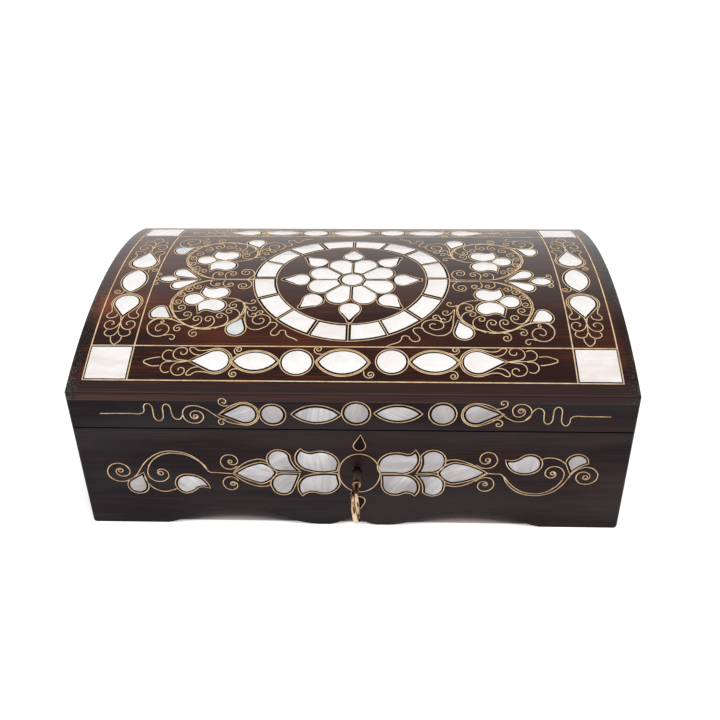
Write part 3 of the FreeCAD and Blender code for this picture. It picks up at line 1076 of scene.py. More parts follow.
def cut_at(axis: int, places: Iterable[float]) -> None:
    """Cuts all that is being edited across an axis.

    Args:
        axis: 0 for X, 1 for Y.
        places: where to cut, in metres.
    """
    normal = Vector((axis == 0, axis == 1, 0))
    for place in places:
        bpy.ops.mesh.select_all(action="SELECT")
        bpy.ops.mesh.bisect(plane_co=normal * place, plane_no=normal)


def block(x: Span, y: Span, z: Span) -> Object:
    """Cube stretched between two corners, as a start for a piece.

    Args:
        x: extent along X, in the case's own frame.
        y: extent along Y.
        z: extent along Z.

    Returns:
        The object.
    """
    middle = [(a + b) / 2 * MM for a, b in (x, y, z)]
    middle[1] += CASE_Y * MM
    deselect()
    bpy.ops.mesh.primitive_cube_add(size=1, location=middle)
    made = bpy.context.object
    made.scale = [(b - a) * MM for a, b in (x, y, z)]
    return placed(made)


def redressed(names: Iterable[str], material: Material) -> None:
    """Gives carried-over nodes their finish.

    Args:
        names: the nodes.
        material: their material.
    """
    for name in names:
        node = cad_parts[name]
        node.data.materials.clear()
        node.data.materials.append(material)
        log.info("%s: dressed", name)


def taken(obj: Object, name: str, material: Material, body: Body) -> Object:
    """Takes a finished piece into the box and logs it.

    Args:
        obj: the piece.
        name: its name.
        material: its material.
        body: body that it rides on.

    Returns:
        The same piece.
    """
    obj.name = name
    obj.data.name = name
    obj.data.materials.clear()
    obj.data.materials.append(material)
    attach(obj, body.value)
    log.info("%s: %d faces on %s", name, len(obj.data.polygons), body.value)
    return obj


def laid(obj: Object, ground: Ground) -> None:
    """Moves a mesh that is drawn flat onto the surface that carries it.

    Args:
        obj: object with the mesh, in metres.
        ground: the surface.
    """
    for v in obj.data.vertices:
        v.co = on_ground(ground, v.co.x / MM, v.co.y / MM, v.co.z / MM)
    if ground is Ground.FACE:
        obj.data.flip_normals()
    obj.data.update()
    edited(obj)
    bpy.ops.mesh.select_all(action="SELECT")
    bpy.ops.mesh.normals_make_consistent(inside=False)
    smoothed(obj, 38)


def slips(outlines: list[Line], ground: Ground, low: float, high: float, soft: float,
          tints: dict[int, float] | None = None) -> Object:
    """Thin plates cut to outlines, softened at the top edge and laid on a surface.

    Args:
        outlines: closed outlines, in millimetres.
        ground: surface that carries the plates.
        low: height of the underside over the surface.
        high: height of the top over the surface.
        soft: width of the softened edge, or 0.
        tints: tints of the plates that stand out, by number.

    Returns:
        One object with all the plates.
    """
    mesh = bpy.data.meshes.new("slips")
    bm = bmesh.new()
    tint = bm.verts.layers.float.new("slip")
    for i, outline in enumerate(outlines):
        verts = [bm.verts.new((p[0] * MM, p[1] * MM, low * MM)) for p in outline]
        for v in verts:
            v[tint] = (tints or {}).get(i, TINT_RANGE * ((i * GOLDEN_SHARE + FIRST_TINT) % 1.0))
        bm.faces.new(verts)
    bm.to_mesh(mesh)
    bm.free()
    obj = linked("slips", mesh)
    edited(obj)
    bpy.ops.mesh.select_all(action="SELECT")
    bpy.ops.mesh.extrude_region_move(
        TRANSFORM_OT_translate={"value": (0, 0, (high - low) * MM)})
    if soft:
        bpy.ops.mesh.inset(thickness=soft * MM, depth=0)
    if ground is Ground.DOME:
        cut_at(1, [place * MM for place in DOME_CUTS])
    bpy.ops.object.mode_set(mode="OBJECT")
    if soft:
        rim = (high - soft * 0.7) * MM
        top = {v for p in mesh.polygons if p.normal.z > 0.9 for v in p.vertices}
        outer = {v for p in mesh.polygons if abs(p.normal.z) < 0.1 for v in p.vertices}
        for v in top & outer:
            mesh.vertices[v].co.z = rim
    laid(obj, ground)
    return obj


def wires(closed: list[Line], drawn: list[Line], ground: Ground, width: float,
          proud: float) -> Object:
    """Half-round wires pressed into a surface.

    Args:
        closed: closed lines, followed point by point.
        drawn: open lines, drawn smoothly through their points.
        ground: surface that carries the wires.
        width: width of a wire, in millimetres.
        proud: height of a wire over the surface.

    Returns:
        One object with all the wires.
    """
    data = bpy.data.curves.new("wires", "CURVE")
    data.dimensions = "3D"
    data.twist_mode = "Z_UP"
    data.bevel_depth = width / 2 * MM
    data.bevel_resolution = 1
    data.resolution_u = 5
    data.use_fill_caps = True
    for line in closed:
        spline = data.splines.new("POLY")
        spline.points.add(len(line) - 1)
        for point, p in zip(spline.points, line):
            point.co = (p[0] * MM, p[1] * MM, 0, 1)
        spline.use_cyclic_u = True
    for line in drawn:
        spline = data.splines.new("BEZIER")
        spline.bezier_points.add(len(line) - 1)
        for point, p in zip(spline.bezier_points, line):
            point.co = (p[0] * MM, p[1] * MM, 0)
            point.handle_left_type = point.handle_right_type = "AUTO"
    picked(linked("wires", data))
    bpy.ops.object.convert(target="MESH")
    obj = bpy.context.object
    squash = proud / (width / 2)
    for v in obj.data.vertices:
        v.co.z *= squash
    laid(obj, ground)
    return obj


# Pattern


@dataclass
class Ornament:
    """Wires at a drop, drawn outwards from its tip: cup, sepals, spirals, scallops and petal."""

    stem: Line = field(default_factory=lambda: [(-0.6, 0), (3, 0.1), (6, 0.1), (9.4, 0.1)])
    spiral: Line = field(default_factory=lambda: [
        (1.6, 0.2), (4.6, 0.7), (7.2, 1.6), (8.4, 3.8), (7.7, 6.6), (5.4, 8.0), (3.0, 7.3),
        (2.3, 5.4), (3.4, 3.9), (4.9, 4.2), (5.2, 5.4)])
    scallop: Line = field(default_factory=lambda: [
        (8.9, 0.2), (11.9, 0.8), (13.2, 3.1), (12.4, 5.6), (10.8, 6.5), (9.1, 5.9)])
    petal: Line = field(default_factory=lambda: [
        (13.9, 2.5), (16.9, 2.7), (19.4, 1.7), (21.2, 0.1), (18.9, -1.4), (16.4, -2.1),
        (14.0, -2.4)])
    sepal: Line = field(default_factory=lambda: [
        (-5.1, 6.1), (-2.6, 6.3), (-0.1, 8.0), (1.2, 7.7), (0.7, 5.6), (-1.1, 3.9), (-4.1, 3.3)])
    cup_gap: float = 1.7
    cup_start: float = -62
    cup_sweep: float = -236

    def at(self, round_end: Point, r: float, tip: Point, along: float = 1.0) -> list[Line]:
        """Lines of the ornament at one drop.

        Args:
            round_end: middle of the drop's round end.
            r: radius of that end.
            tip: tip of the drop.
            along: stretch along the drop.

        Returns:
            Open lines.
        """
        reach = math.dist(round_end, tip)
        cup = sized(self.sepal, along, -1)[::-1]
        cup += bow(-reach, 0, r + self.cup_gap, self.cup_start, self.cup_sweep)
        cup += sized(self.sepal, along, 1)
        lines = [cup, sized(self.stem, along, 1), sized(self.petal, along, 1)]
        for side in (1, -1):
            lines += [sized(self.spiral, along, side), sized(self.scallop, along, side)]
        heading = math.degrees(math.atan2(tip[1] - round_end[1], tip[0] - round_end[0]))
        return [[(tip[0] + a, tip[1] + b) for a, b in turned(line, heading)] for line in lines]


SIDE_ORNAMENT = Ornament(
    stem=[(2.5, 0), (5, 0), (8, 0), (11.2, 0)],
    spiral=[(0, -0.7), (3, -0.2), (6, 0.5), (8.5, 2.0), (9.4, 4.5), (8, 6.6), (5.7, 7), (3.7, 5.5),
            (4, 3.6), (5.5, 2.9), (6.3, 3.9)],
    scallop=[(10.8, 0.3), (12.8, 1.1), (13.8, 3), (13.3, 5), (11.6, 6), (10, 5.3)],
    petal=[(14.2, 2.5), (16.5, 2.3), (18.3, 1), (19.0, 0.1), (18.3, -1), (16.5, -2.1),
           (14.3, -2.5)],
    sepal=[(-6.0, 6.4), (-2.8, 5.9), (-0.6, 7.4), (1.2, 7.0), (1.5, 4.6), (0.3, 2.9), (-1.2, 2.6)])


@dataclass
class Zone:
    """One field of inlay: its slips, the lines round them and the free lines."""

    name: str
    node: str
    ground: Ground
    body: Body
    paths: list[Path] = field(default_factory=list)
    doubled: list[Path] = field(default_factory=list)
    bare: list[Path] = field(default_factory=list)
    loops: list[Line] = field(default_factory=list)
    lines: list[Line] = field(default_factory=list)
    fills: list[Line] = field(default_factory=list)
    tints: dict[int, float] = field(default_factory=dict)
    rim: float = 0.95
    twin: float = 1.0
    width: float = 0.5
    groove: float = 0.25
    proud: float = 0.1
    trim: float = 0.14
    play: float = 0.14
    low: float = -0.1
    slip_top: float = 0.15
    slip_soft: float = 0.06
    bed_top: float = 0.06
    bed_rim: float = 0.5
    groove_top: float = 0.03
    lines_node: str = ""

    def build(self, pearl: Material, brass: Material, mastic: Material) -> None:
        """Models and dresses the slips, their dark bed and the wires.

        Args:
            pearl: finish of the slips.
            brass: finish of the wires.
            mastic: finish of the bed.
        """
        whole = [traced(p) for p in self.paths + self.bare]
        cut = []
        for i, outline in enumerate(whole):
            side = GOLDEN_TURN * i
            u, v = self.play * math.cos(side), self.play * math.sin(side)
            cut.append([(a + u, b + v) for a, b in widened(outline, -self.trim)])
        if whole:
            plates = slips(cut, self.ground, self.low, self.slip_top, self.slip_soft, self.tints)
            taken(plates, "slips_" + self.name, pearl, self.body)
            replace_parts(plates, self.node)
            beds = [widened(o, self.bed_rim) for o in whole] + self.fills
            bed = slips(beds, self.ground, self.low, self.bed_top, 0)
            taken(bed, "bed_" + self.name, mastic, self.body)
        loops = [widened(traced(p), self.rim) for p in self.paths] + self.loops
        loops += [widened(traced(p), self.rim + self.twin) for p in self.doubled]
        wide = self.width + self.groove
        grooves = wires(loops, self.lines, self.ground, wide, self.groove_top)
        taken(grooves, "grooves_" + self.name, mastic, self.body)
        made = wires(loops, self.lines, self.ground, self.width, self.proud)
        taken(made, "wires_" + self.name, brass, self.body)
        if self.lines_node:
            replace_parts(made, self.lines_node)


def border_zone() -> Zone:
    """Border of the lid: rows of slips, their ornaments and the corner squares.

    Returns:
        The zone.
    """
    left, right = (-60.6, 0.2, 5.7, -71.6, 0.0), (55.8, 0.2, 6.1, 67.9, 0.6)
    front_left, back_left = (-107.9, -25.2, 5.6, -108.0, -35.0), (-107.8, 12.6, 6.0, -107.7, 25.2)
    front_right, back_right = (107.4, -23.7, 6.0, 107.1, -34.3), (107.5, 16.2, 5.9, 107.6, 28.8)
    row = [
        drop(*left), almond(-43.0, 0.0, 9.4, 5.0), disc(-24.3, -0.2, 6.7),
        almond(-3.9, -0.2, 10.6, 6.4), disc(18.0, 0.5, 6.5), almond(36.7, 0.3, 9.9, 5.4),
        drop(*right)]
    ends = [
        drop(*front_left), turned(almond(-5.9, 108.6, 10.2, 5.6), 90), drop(*back_left),
        drop(*front_right), turned(almond(-3.4, -107.2, 10.2, 5.6), 90), drop(*back_right)]
    zone = Zone("border", "pearl_lid_border", Ground.DOME, Body.LID, rim=0.85, twin=0.62)
    zone.tints = {i: 1.0 for i in range(20, 24)}
    ornament = Ornament()
    row_s, corner_u, corner_s, corner_half = 63.6, 108.4, 64.6, 9.2
    curl_r, turns, lead = 2.1, 1.6, 1.6
    for sign in (-1, 1):
        s = sign * row_s
        zone.paths += [scaled(p, 0, s) for p in row]
        zone.doubled += [scaled(row[i], 0, s) for i in (1, 3, 5)]
        zone.bare += [square(u, sign * corner_s, corner_half) for u in (-corner_u, corner_u)]
        for (u, v, r, tip_u, tip_v), along in ((left, 1.0), (right, 1.1)):
            zone.lines += ornament.at((u, s + v), r, (tip_u, s + tip_v), along)
        for u, away, start, turn in (
                (-51, 56.8, 60, 1), (-52, 70.8, -60, -1), (-15, 56.2, 60, 1), (8.5, 70.5, -150, -1),
                (46.3, 56.2, 145, -1), (45, 71.2, -120, 1)):
            zone.lines.append(
                curl(u, sign * away, curl_r, sign * start, sign * turn, turns, lead))
    zone.paths += ends
    for (u, v, r, tip_u, tip_v), along in (
            (front_left, 1.0), (front_right, 1.0), (back_left, 1.25), (back_right, 1.2)):
        zone.lines += SIDE_ORNAMENT.at((u, v), r, (tip_u, tip_v), along)
    for u, s, start in (
            (-114.4, -16.2, 30), (-101, 4.2, 225), (100.8, -12.8, 45), (113.3, 7.5, 160)):
        zone.lines.append(curl(u, s, curl_r, start, -1, turns, lead))
    return zone


def frame_zone() -> Zone:
    """Straight lines that frame the border of the lid.

    Returns:
        The zone.
    """
    frame_u, frame_s, inner_u, inner_s = 118.3, 74.5, 98.6, 54.6
    points = 60
    zone = Zone("frame", "", Ground.DOME, Body.LID, width=0.64, lines_node="wire_lid_lines")
    corners = [(-frame_u, -frame_s), (frame_u, -frame_s), (frame_u, frame_s), (-frame_u, frame_s)]
    zone.loops = [[
        (a[0] + (b[0] - a[0]) * i / points, a[1] + (b[1] - a[1]) * i / points)
        for a, b in zip(corners, corners[1:] + corners[:1]) for i in range(points)]]
    for sign in (-1, 1):
        zone.lines.append([(-frame_u + 2 * frame_u * i / 8, sign * inner_s) for i in range(9)])
        zone.lines.append([(sign * inner_u, -frame_s + 2 * frame_s * i / 80) for i in range(81)])
    return zone


def medallion_zone() -> Zone:
    """Round medallion of the lid: rosette, leaves and a ring of sixteen slips.

    Returns:
        The zone.
    """
    petal: Path = [(6.7, -2.2), (15.7, -5.85), (21.75, 0, 15.7, 5.85), (6.7, 2.2)]
    leaf: Path = [(20.6, 0), (23.9, -4.75, 28.3, -3.3), (33.3, 0), (28.3, 3.3),
                  (23.9, 4.75, 20.6, 0)]
    crown = [(15.4, -6.2), (17.6, -6.0), (20.2, -4.6), (21.9, -2.3), (22.4, 0), (21.9, 2.3),
             (20.2, 4.6), (17.6, 6.0), (15.4, 6.2)]
    ogee = [(21.2, -3.7), (23.6, -5.2), (27.3, -4.6), (31.0, -2.3), (34.6, 0), (31.0, 2.3),
            (27.3, 4.6), (23.6, 5.2), (21.2, 3.7)]
    rib = [(6.2, 0), (10, 0), (14, 0), (16.9, 0)]
    u, s = -1.8, -4.4
    ring_u, ring_s, ring_in, ring_out, ring_gap = -2.1, -3.2, 37.4, 47.0, 0.9
    wire_in, wire_out, chord = 36.6, 47.9, 1.2
    eighth, sixteenth = 45, 22.5
    zone = Zone("medallion", "pearl_lid_medallion", Ground.DOME, Body.LID, rim=0.65, width=0.45,
                trim=0.2, play=0.22)
    zone.tints = {17: 1.0, 25: 1.0, 28: 1.0}
    zone.paths.append(disc(u, s, 5.3))
    for i in range(8):
        zone.bare.append(scaled(turned(petal, sixteenth + eighth * i), u, s))
        zone.bare.append(scaled(turned(leaf, eighth * i), u, s))
        for line, lean in ((crown, sixteenth), (ogee, 0), (rib, 0)):
            zone.lines.append([(u + a, s + b) for a, b in turned(line, lean + eighth * i)])
    for i in range(16):
        middle = sixteenth / 2 + sixteenth * i
        zone.bare.append(ring_piece(ring_u, ring_s, ring_in, ring_out, middle, ring_gap))
        spoke = turned([(36.8, 0), (40, 0), (44, 0), (47.7, 0)], sixteenth * i)
        zone.lines.append([(ring_u + a, ring_s + b) for a, b in spoke])
    for r in (wire_in, wire_out):
        zone.loops.append(traced(disc(ring_u, ring_s, r), chord))
    return zone


def lowered(a: float, b: float) -> Point:
    """Point of the scroll's tail, drawn wider and lower at the right front."""
    share = min(1.0, max(0.0, (-b - 20) / 8))
    return a + share * (1.2 + 0.2 * (a + 49)), b - 1.6 * share


def scroll_zone() -> Zone:
    """Four scroll panels of the lid, drawn once and mirrored and stretched to their places.

    Returns:
        The zone.
    """
    kidney: Path = [(-6.4, 0), (-5.4, 4.6), (-2.6, 2.9, 0.8, 3.7), (6.1, 1.6, 4.4, -3.4),
                    (-1.6, -4.6, -6.4, 0)]
    bud: Path = [(4.7, -3.7), (-3.4, -3.7), (-4.8, -1.0, -3.6, 2.2), (-1.4, 4.2, 1.2, 3.6)]
    quarter = [
        scaled(kidney, -65.6, -11.9), scaled(kidney, -65.8, -22.4, 1, -1),
        drop(-75.2, -17.2, 4.2, -69.6, -17.0), scaled(bud, -88.7, -27.8),
        drop(-52.3, -38.8, 4.0, -50.2, -32.0), drop(-84.6, -5.4, 3.1, -75.6, -0.7),
    ]
    scroll = [
        (-47.5, -0.3), (-55, -0.3), (-62, -0.3), (-68.5, -0.7), (-72, -1.6), (-75, -3), (-78, -5.4),
        (-81, -8.7), (-83.4, -12.4), (-85.1, -16.8), (-85.4, -20.8), (-84.7, -24.8), (-83, -28.6),
        (-80.4, -32.1), (-77.4, -34.9), (-73.9, -37.1), (-69.4, -38.3), (-64.4, -38.5),
        (-59.4, -37.3), (-55.9, -35.3), (-52.9, -32.6), (-50.6, -29.3), (-49.6, -25.3),
        (-49.9, -22.3), (-51.4, -19.5), (-53.9, -17.5), (-56.9, -16.5), (-59.9, -16.3)]
    branch = [
        (-63.5, -39.0), (-67.5, -39.2), (-73, -37.9), (-78.4, -34.9), (-83.4, -32.2),
        (-87.4, -31.3), (-90.9, -32.6), (-93.1, -35.8), (-93, -39.8), (-90.9, -43), (-87.7, -44.1),
        (-84.6, -42.9), (-83.1, -40.1), (-83.9, -37.3), (-86.2, -35.8), (-88.6, -36.5),
        (-89.4, -38.8), (-88.2, -40.5), (-86.4, -39.6)]
    tail = [
        (-49.1, -22.5), (-49.1, -27.6), (-48.4, -34), (-47, -37.6), (-43.8, -39.3), (-40.2, -38.3),
        (-37.3, -35.4), (-37, -31.9), (-39.1, -29.4), (-42, -29), (-44.4, -30.4), (-45.2, -32.9),
        (-43.8, -35.1), (-41.2, -35.2), (-39.8, -33.3), (-40.7, -31.5), (-42.2, -31.9)]
    shoots = [
        [(-50.2, -19.8), (-48.4, -20.7), (-46.6, -20.6), (-45.3, -19.3), (-46, -17.9),
         (-47.2, -18.2), (-47, -19.2)],
        [(-48.8, -22.8), (-47.4, -25.3), (-45.6, -26), (-44.3, -24.8), (-45, -23.5), (-46.3, -23.8),
         (-46, -24.8)],
        [(-44.4, -29), (-43.6, -27.2), (-42.3, -26), (-41, -26.6), (-41.4, -27.9), (-42.6, -27.6)],
        [(-48.2, -26.5), (-47.6, -29.2), (-46.2, -30.4), (-44.5, -29.9), (-44.3, -28.5),
         (-45.6, -28.2), (-45.9, -29.2)]]
    squiggle = [
        (-37.6, -34.9), (-35.2, -34.3), (-33.6, -35.3), (-34, -37.6), (-35.5, -39.8),
        (-35.8, -42.2), (-33.9, -43), (-32.3, -41.6), (-31.6, -39.9), (-29.4, -39.9), (-29, -41.8),
        (-27.9, -43.5), (-25.4, -44.8), (-23.4, -46.2)]
    hook = [(-85.2, -43.4), (-82.6, -42.9), (-80.3, -43.3), (-79.7, -44.8), (-80.9, -46.1),
            (-81.8, -45.3)]
    inner = [
        (-74.4, -6.9, 2.2), (-78.15, -9.3, 2.3), (-81.3, -13.4, 2.3), (-82.3, -19.3, 2.4),
        (-80, -23.9, 2.8), (-76.4, -29.0, 2.9), (-71.3, -32.2, 3.0), (-65.65, -32.4, 3.0),
        (-60.65, -30.0, 2.8), (-56.6, -26.6, 2.6), (-55.3, -22.2, 2.8)]
    lines = [
        scroll, beside(scroll[3:14], 0.8), beside(scroll[17:25], 0.7), branch,
        beside(branch[3:8], 0.7), tail, squiggle, hook, *shoots]
    lines += [tied(scroll, u, s, r) for u, s, r in inner]
    lines += [
        curl(-65.65, -4.5, 1.9, 130, 1, 1.5, 2.5), curl(-59.4, -4.7, 2.4, 125, 1, 1.5, 2.0),
        curl(-52.8, -5.9, 3.4, 75, -1, 1.75, 1.7), curl(-79.1, -39, 2.2, 60, 1, 1.3, 1.4),
        curl(-71.3, -42.2, 2.5, 70, 1, 1.4, 1.35), curl(-95.6, -3.9, 1.5, 90, 1, 1.2, 1.8),
        curl(-87.2, -34.4, 1.0, 100, -1, 1.1, 1.5)]
    zone = Zone("scrolls", "pearl_lid_scrolls", Ground.DOME, Body.LID, rim=0.8)
    zone.tints = {3: 0.92, 4: 0.95, 15: 0.95}
    tail_u, middle_u = -49.5, -1.6
    wider = [[lowered(a, b) if a > tail_u else (a, b) for a, b in line] for line in lines]
    for mirror, stretch, stem in (
            (1, 1.0, -4.7), (-1, 1.02, -5.5), (1, -1.19, -4.7), (-1, -1.17, -4.7)):
        zone.paths += [scaled(p, middle_u, stem, mirror, stretch) for p in quarter]
        drawn = wider if mirror < 0 < stretch else lines
        zone.lines += [[(middle_u + mirror * a, stem + stretch * b) for a, b in line]
                       for line in drawn]
    zone.paths += [almond(-91.9, -4.7, 4.4, 2.3), almond(90.2, -5.3, 5.0, 3.2)]
    return zone


def edge_zone() -> Zone:
    """Strip along the front of the lid.

    Returns:
        The zone.
    """
    paths = [
        drop(-46.6, 66.0, 4.7, -56.4, 65.6), disc(-34.3, 65.7, 4.9), almond(-15.1, 66.0, 9.8, 4.1),
        disc(2.5, 66.8, 5.4), almond(20.9, 66.8, 9.4, 3.9), disc(40.3, 66.8, 5.2),
        drop(54.8, 66.6, 4.7, 65.3, 67.0)]
    zone = Zone("edge", "pearl_lid_edge", Ground.FACE, Body.LID, paths, rim=0.95, trim=0.25)
    zone.tints = {1: 0.9, 3: 0.8, 5: 0.9}
    zone.lines = [
        [(-111, 65.5), (-104, 65.6), (-97, 65.7), (-92.2, 65.8), (-91, 67.2), (-90.8, 69.8),
         (-89.3, 71.2), (-87.5, 70), (-87.1, 66.5), (-86.7, 63.1), (-84.9, 61.7), (-83.2, 63),
         (-82.7, 66.4), (-82.4, 69.6), (-81, 71), (-79.4, 69.8), (-79, 66.5), (-78.2, 63.6),
         (-76.3, 62.6), (-74.8, 63.6), (-74, 65.6)],
        [(-57.2, 66.4), (-54, 69.2), (-50.4, 71.4), *bow(-46.6, 66, 6.3, 95, -200), (-54.5, 61.6),
         (-60, 65.4), (-64, 68.7), (-69, 70.3), (-72.6, 69), (-74, 65.8), (-73, 62.3),
         (-69.8, 60.6), (-66.3, 61.6), (-65, 64.7), (-66.5, 67), (-69, 67.3), (-70.7, 65.5),
         (-70, 63.4), (-68.2, 63.2), (-67.4, 64.6), (-68.5, 65.3)],
        [(-53.5, 70.5), (-55.6, 70.3), (-57.5, 71.8), (-57.3, 73.6), (-56, 74.3), (-54.4, 73.2),
         (-55, 71.7), (-56.1, 72.4)],
        [(-55.2, 62.9), (-57.3, 63), (-58.6, 61.6), (-57.6, 60.0), (-56.2, 60.7), (-57, 61.6)],
        [(66.4, 66.2), (62.8, 63.4), (59, 61.4), *bow(54.8, 66.6, 6.3, -85, -195), (61, 71.4),
         (65, 68.3), (69, 64.6), (73.5, 63), (77.5, 64.6), (78.8, 68), (77.3, 71.4), (74, 72.6),
         (71, 71), (70.7, 67.8), (72.5, 65.8), (75, 66.3), (76, 68.6), (74.6, 70.1), (73.0, 69.4),
         (73.4, 68)],
        [(76.4, 64.0), (78.4, 66.4), (79.5, 69), (81.8, 70.5), (83.9, 69), (84.3, 65.6),
         (84.8, 62.9), (86.4, 61.9), (87.9, 63.2), (88.3, 66.8), (88.6, 69.9), (90, 71.2),
         (91.6, 70), (92, 66.4), (92.4, 62.8), (94.2, 61), (95.7, 62.5), (96, 65), (97.4, 66.2),
         (102, 66.2), (108, 66.2), (113.3, 66.2)],
        [(63.2, 69.8), (66, 70.3), (68, 71.8), (67.9, 73.6), (66.5, 74.3), (65.3, 73.3),
         (65.9, 72.2), (66.8, 72.6)],
        [(62, 63.6), (64.4, 64.0), (66.3, 63), (66.5, 61.3), (65.2, 60.2), (63.9, 60.9),
         (64.5, 61.9), (65.3, 61.5)]]
    wound = (1, 4)
    zone.lines = [coiled(line) if i in wound else line for i, line in enumerate(zone.lines)]
    return zone


